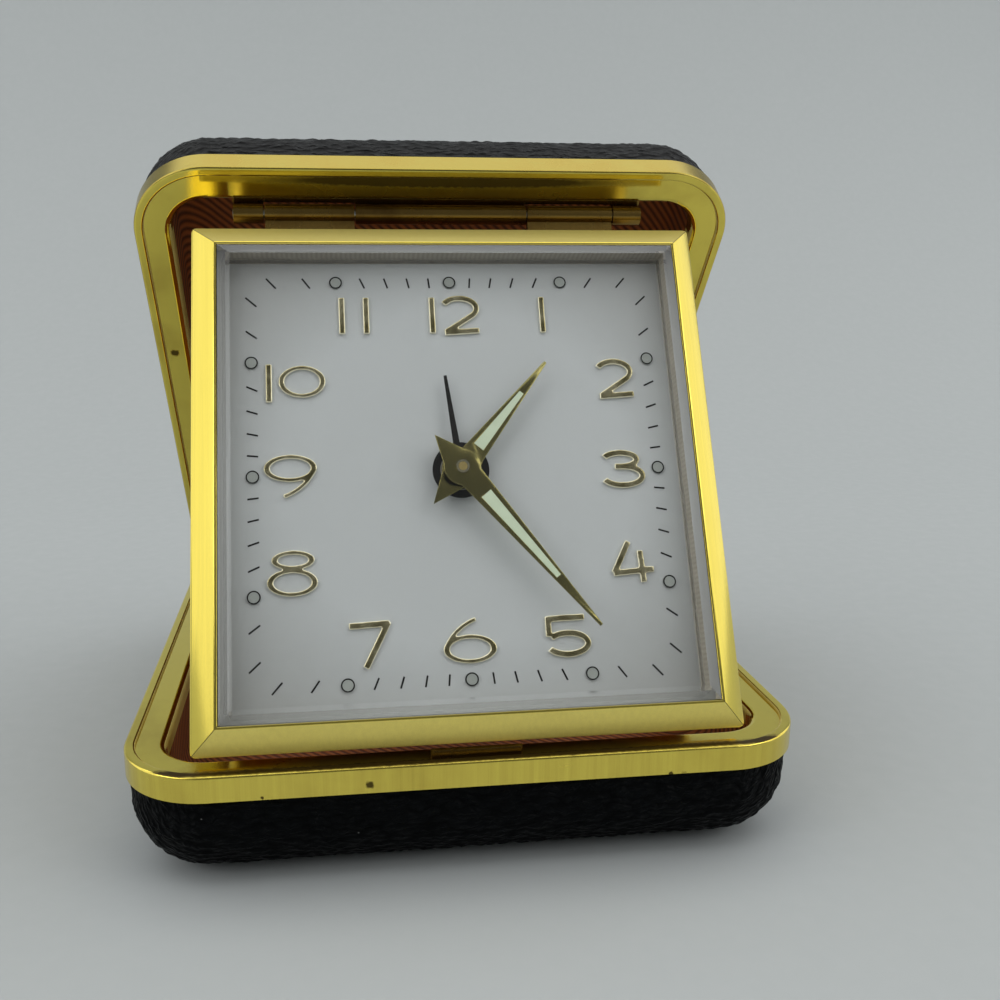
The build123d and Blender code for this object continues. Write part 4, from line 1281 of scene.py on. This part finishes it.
def tops(edge: bmesh.types.BMEdge, out: Vector) -> bool:
    """Whether an edge bounds a face that looks outwards."""
    return max(face.normal.dot(out) for face in edge.link_faces) > 0.9


@dataclass
class Hands:
    """Gilt hands with cut edges, and the ringed disc of the alarm hand.

    Attributes:
        station: the middle of the dial on the clock's axis.
        cut: width of the hands' cut edges.
        disc_rings: middle radius of each ring on the alarm disc.
        ring_width: width of those rings.
        ink: thickness of the print.
    """

    station: Station
    cut: float = 0.06 * MM
    disc_rings: tuple[float, ...] = (2.3 * MM,)
    ring_width: float = 0.12 * MM
    ink: float = 0.02 * MM

    def gilt(self, node: str, body: Body, finishes: Finishes) -> bpy.types.Object:
        """Cut the edges of one hand.

        Args:
            node: the hand's name.
            body: the body it rides on.
            finishes: the clock's finishes.

        Returns:
            The hand.
        """
        out = self.station.out
        mesh = softened_copy(node, self.cut, 2, lambda edge: tops(edge, out))
        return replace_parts(add_piece(f"cut_{node}", mesh, body, finishes.hand), node)

    def disc(self, finishes: Finishes) -> bpy.types.Object:
        """Print the rings on the alarm disc.

        Args:
            finishes: the clock's finishes.

        Returns:
            The rings as one piece.
        """
        disc = frame["nodes"]["alarm_hand"].data
        level = max(self.station.out.dot(vert.co - self.station.origin) for vert in disc.vertices)
        mesh = bmesh.new()
        for radius in self.disc_rings:
            place = self.station.matrix() @ Matrix.Translation((0.0, 0.0, level))
            add_ring(mesh, place, radius, self.ring_width, self.ink)
        bmesh.ops.recalc_face_normals(mesh, faces=mesh.faces)
        return add_piece("alarm_disc_rings", mesh, Body.ALARM, finishes.pale)


@dataclass
class Front:
    """Bezel with softened edges and the crystal in it.

    Attributes:
        station: the middle of the dial on the clock's axis.
        soft: width of the bezel's rounded edges.
    """

    station: Station
    soft: float = 0.09 * MM

    def bezel(self, finishes: Finishes) -> bpy.types.Object:
        """Round the bezel's edges.

        Args:
            finishes: the clock's finishes.

        Returns:
            The bezel.
        """
        out = self.station.out
        mesh = softened_copy(
            "bezel", self.soft, 2, lambda edge: min(face.normal.dot(out) for face in edge.link_faces) > -0.1
        )
        piece = add_piece("soft_bezel", mesh, Body.CLOCK, finishes.bezel_sides)
        # Faces that look up get the head's painted shade, and faces that look down get the foot's painted light.
        for material in (finishes.bezel_head, finishes.painted_light_bezel_foot):
            piece.data.materials.append(material)
        for face in piece.data.polygons:
            rise = face.normal.dot(self.station.up)
            face.material_index = 0 if abs(rise) < 0.3 else 1 if rise > 0.0 else 2
        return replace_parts(piece, "bezel")

    def crystal(self, finishes: Finishes) -> None:
        """Give the crystal its clear finish, and its outer sides the frosted one.

        Args:
            finishes: the clock's finishes.
        """
        data = frame["nodes"]["crystal"].data
        finishes.lay(finishes.crystal, "crystal")
        data.materials.append(finishes.edge)
        for face in data.polygons:
            aside = abs(face.normal.dot(self.station.out)) < 0.3
            outer = face.normal.dot(face.center - self.station.origin) > 0.0
            face.material_index = 1 if aside and outer else 0


@dataclass
class Studio:
    """Pale sweep, soft lights and the photograph's camera.

    Attributes:
        floor_colour: colour of the sweep.
        camera_place: where the camera stands.
        azimuth: turn of the camera round Z, in degrees.
        elevation: its height angle, in degrees.
        focal_px: focal length in pixels of the image.
        centre_px: where the lens's axis meets the image.
        image_px: side of the square image.
    """

    floor_colour: Colour = (0.43, 0.455, 0.455)
    camera_place: Colour = (-0.01515, -0.13467, 0.06493)
    azimuth: float = -7.098
    elevation: float = 12.871
    focal_px: float = 1004.0
    centre_px: tuple[float, float] = (449.23, 494.54)
    image_px: float = 1000.0
    sensor: float = 36.0
    sweep_half: float = 1.2
    sweep_front: float = -0.8
    sweep_back: float = 0.45
    sweep_height: float = 0.9
    sweep_round: float = 0.3

    def sweep(self) -> None:
        """Build the floor that curves up into a backdrop."""
        mesh = bmesh.new()
        line = [(self.sweep_front, 0.0), (self.sweep_back, 0.0), (self.sweep_back, self.sweep_height)]
        left = [mesh.verts.new((-self.sweep_half, y, z)) for y, z in line]
        edges = [mesh.edges.new(pair) for pair in zip(left, left[1:])]
        grown = bmesh.ops.extrude_edge_only(mesh, edges=edges)["geom"]
        moved = [item for item in grown if isinstance(item, bmesh.types.BMVert)]
        bmesh.ops.translate(mesh, verts=moved, vec=(2 * self.sweep_half, 0.0, 0.0))
        line_end = Vector((self.sweep_back, 0.0))
        fold = [edge for edge in mesh.edges if all((v.co.yz - line_end).length < 0.1 * MM for v in edge.verts)]
        bmesh.ops.bevel(
            mesh, geom=fold, offset=self.sweep_round, offset_type="OFFSET", affect="EDGES", segments=16, profile=0.5,
            material=-1,
        )
        bmesh.ops.recalc_face_normals(mesh, faces=mesh.faces)
        for face in mesh.faces:
            face.smooth = True
        data = bpy.data.meshes.new("sweep")
        mesh.to_mesh(data)
        mesh.free()
        floor = bpy.data.objects.new("sweep", data)
        bpy.context.scene.collection.objects.link(floor)
        data.materials.append(Finish("pale_sweep", self.floor_colour, self.floor_colour, 0.8).material())

    def lamp(self, name: str, place: Colour, aim: Colour, side: float, power: float) -> None:
        """Add a square soft light.

        Args:
            name: the light's name.
            place: where it stands.
            aim: the point it faces.
            side: its side.
            power: its power in watts.
        """
        light = bpy.data.lights.new(name, "AREA")
        light.size = side
        light.energy = power
        lamp = bpy.data.objects.new(name, light)
        lamp.location = place
        lamp.rotation_euler = (Vector(aim) - Vector(place)).to_track_quat("-Z", "Y").to_euler()
        bpy.context.scene.collection.objects.link(lamp)

    def lights(self) -> None:
        """Light the clock from above, from both front corners and from both sides in a dim room."""
        aim = (0.0, 0.0, 0.04)
        self.lamp("above", (0.0, 0.2, 0.8), aim, 1.4, 8.6)
        for name, side in (("left", -1.0), ("right", 1.0)):
            self.lamp(f"{name}_key", (side * 0.53, -0.4, 0.45), aim, 0.4, 0.9)
            self.lamp(f"{name}_panel", (side * 0.56, 0.0, 0.25), aim, 0.6, 1.15)
        world = bpy.data.worlds.new("dim_room")
        bpy.context.scene.world = world
        world.use_nodes = True
        graph = Graph(world.node_tree)
        dim = world.node_tree.nodes["Background"]
        dim.inputs["Color"].default_value = (0.95, 1.0, 1.0, 1.0)
        dim.inputs["Strength"].default_value = 0.14
        pale = graph.add("Background")
        pale.inputs["Color"].default_value = (*self.floor_colour, 1.0)
        mix = graph.add("MixShader")
        sources = (graph.add("LightPath").outputs["Is Camera Ray"], dim.outputs[0], pale.outputs[0])
        for socket, source in zip(mix.inputs, sources):
            graph.feed(socket, source)
        graph.feed(world.node_tree.nodes["World Output"].inputs["Surface"], mix.outputs[0])

    def camera(self) -> None:
        """Stand the camera where the photograph was taken."""
        data = bpy.data.cameras.new("photo_camera")
        camera = bpy.data.objects.new("photo_camera", data)
        bpy.context.scene.collection.objects.link(camera)
        turn, rise = math.radians(self.azimuth), math.radians(self.elevation)
        back = Vector((math.sin(turn) * math.cos(rise), -math.cos(turn) * math.cos(rise), math.sin(rise)))
        camera.location = self.camera_place
        camera.rotation_euler = (-back).to_track_quat("-Z", "Y").to_euler()
        data.sensor_width = self.sensor
        data.lens = self.sensor * self.focal_px / self.image_px
        data.shift_x = (self.image_px / 2 - self.centre_px[0]) / self.image_px
        data.shift_y = (self.centre_px[1] - self.image_px / 2) / self.image_px
        data.clip_start = 0.005
        bpy.context.scene.camera = camera

    def build(self) -> None:
        """Build the sweep, the lights and the camera."""
        self.sweep()
        self.lights()
        self.camera()
        bpy.context.scene.view_settings.view_transform = "Standard"


def dress_clock(finishes: Finishes) -> None:
    """Give the clock's CAD pieces their finishes.

    Args:
        finishes: the clock's finishes.
    """
    finishes.lay(finishes.dial, "dial")
    finishes.lay(finishes.dot, "hour_dots")
    finishes.lay(finishes.glow, "minute_hand_inlay", "hour_hand_inlay")
    finishes.lay(finishes.gilt, "hand_nut")
    finishes.lay(finishes.print, "alarm_hand")
    finishes.lay(finishes.hinge, "clock_hinge_lugs", "clock_hinge_leaf", "case_catch")
    finishes.lay(finishes.back, "movement_case", "back_cover")
    finishes.lay(
        finishes.steel, "back_screws", "case_hinge_pin", "clock_hinge_pin", "pallet_fork", "alarm_hammer",
        "regulator_lever", "alarm_set_arbor", "going_mainspring", "alarm_mainspring",
    )
    finishes.lay(finishes.blued, "hairspring")
    finishes.lay(
        finishes.turned, "time_set_knob", "alarm_set_knob", "going_winding_key", "alarm_winding_key",
        "alarm_stop_button", "front_plate", "rear_plate", "pillars", "centre_wheel", "cannon_pinion", "hour_wheel",
        "minute_wheel", "third_wheel", "escape_wheel", "balance_wheel", "going_barrel", "alarm_barrel", "alarm_wheel",
    )


def main() -> None:
    """Build the clock's looks in order."""
    logging.basicConfig(level=logging.INFO, format="%(asctime)s %(name)s: %(message)s")
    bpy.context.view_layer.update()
    places = stations()
    finishes = Finishes(places)
    base = CaseHalf("base", Body.BASE, places[Body.BASE])
    lid = CaseHalf("lid", Body.LID, places[Body.LID])
    base.skin(finishes.skins[Body.BASE])
    lid.skin(finishes.skins[Body.LID])
    base.dress(finishes, finishes.base_band, finishes.base_flange)
    lid.dress(finishes, finishes.lid_band, finishes.lid_flange)
    dress_clock(finishes)
    clock = places[Body.CLOCK]
    face = frame["nodes"]["dial"].data.vertices
    dial = Dial(clock, -max(clock.out.dot(vert.co - clock.origin) for vert in face))
    dial.track(finishes)
    dial.rings(finishes)
    dial.numerals(finishes)
    hands = Hands(clock)
    hands.gilt("minute_hand", Body.MINUTE, finishes)
    hands.gilt("hour_hand", Body.HOUR, finishes)
    hands.disc(finishes)
    front = Front(clock)
    front.bezel(finishes)
    front.crystal(finishes)
    Studio().build()


if __name__ == "__main__":
    main()
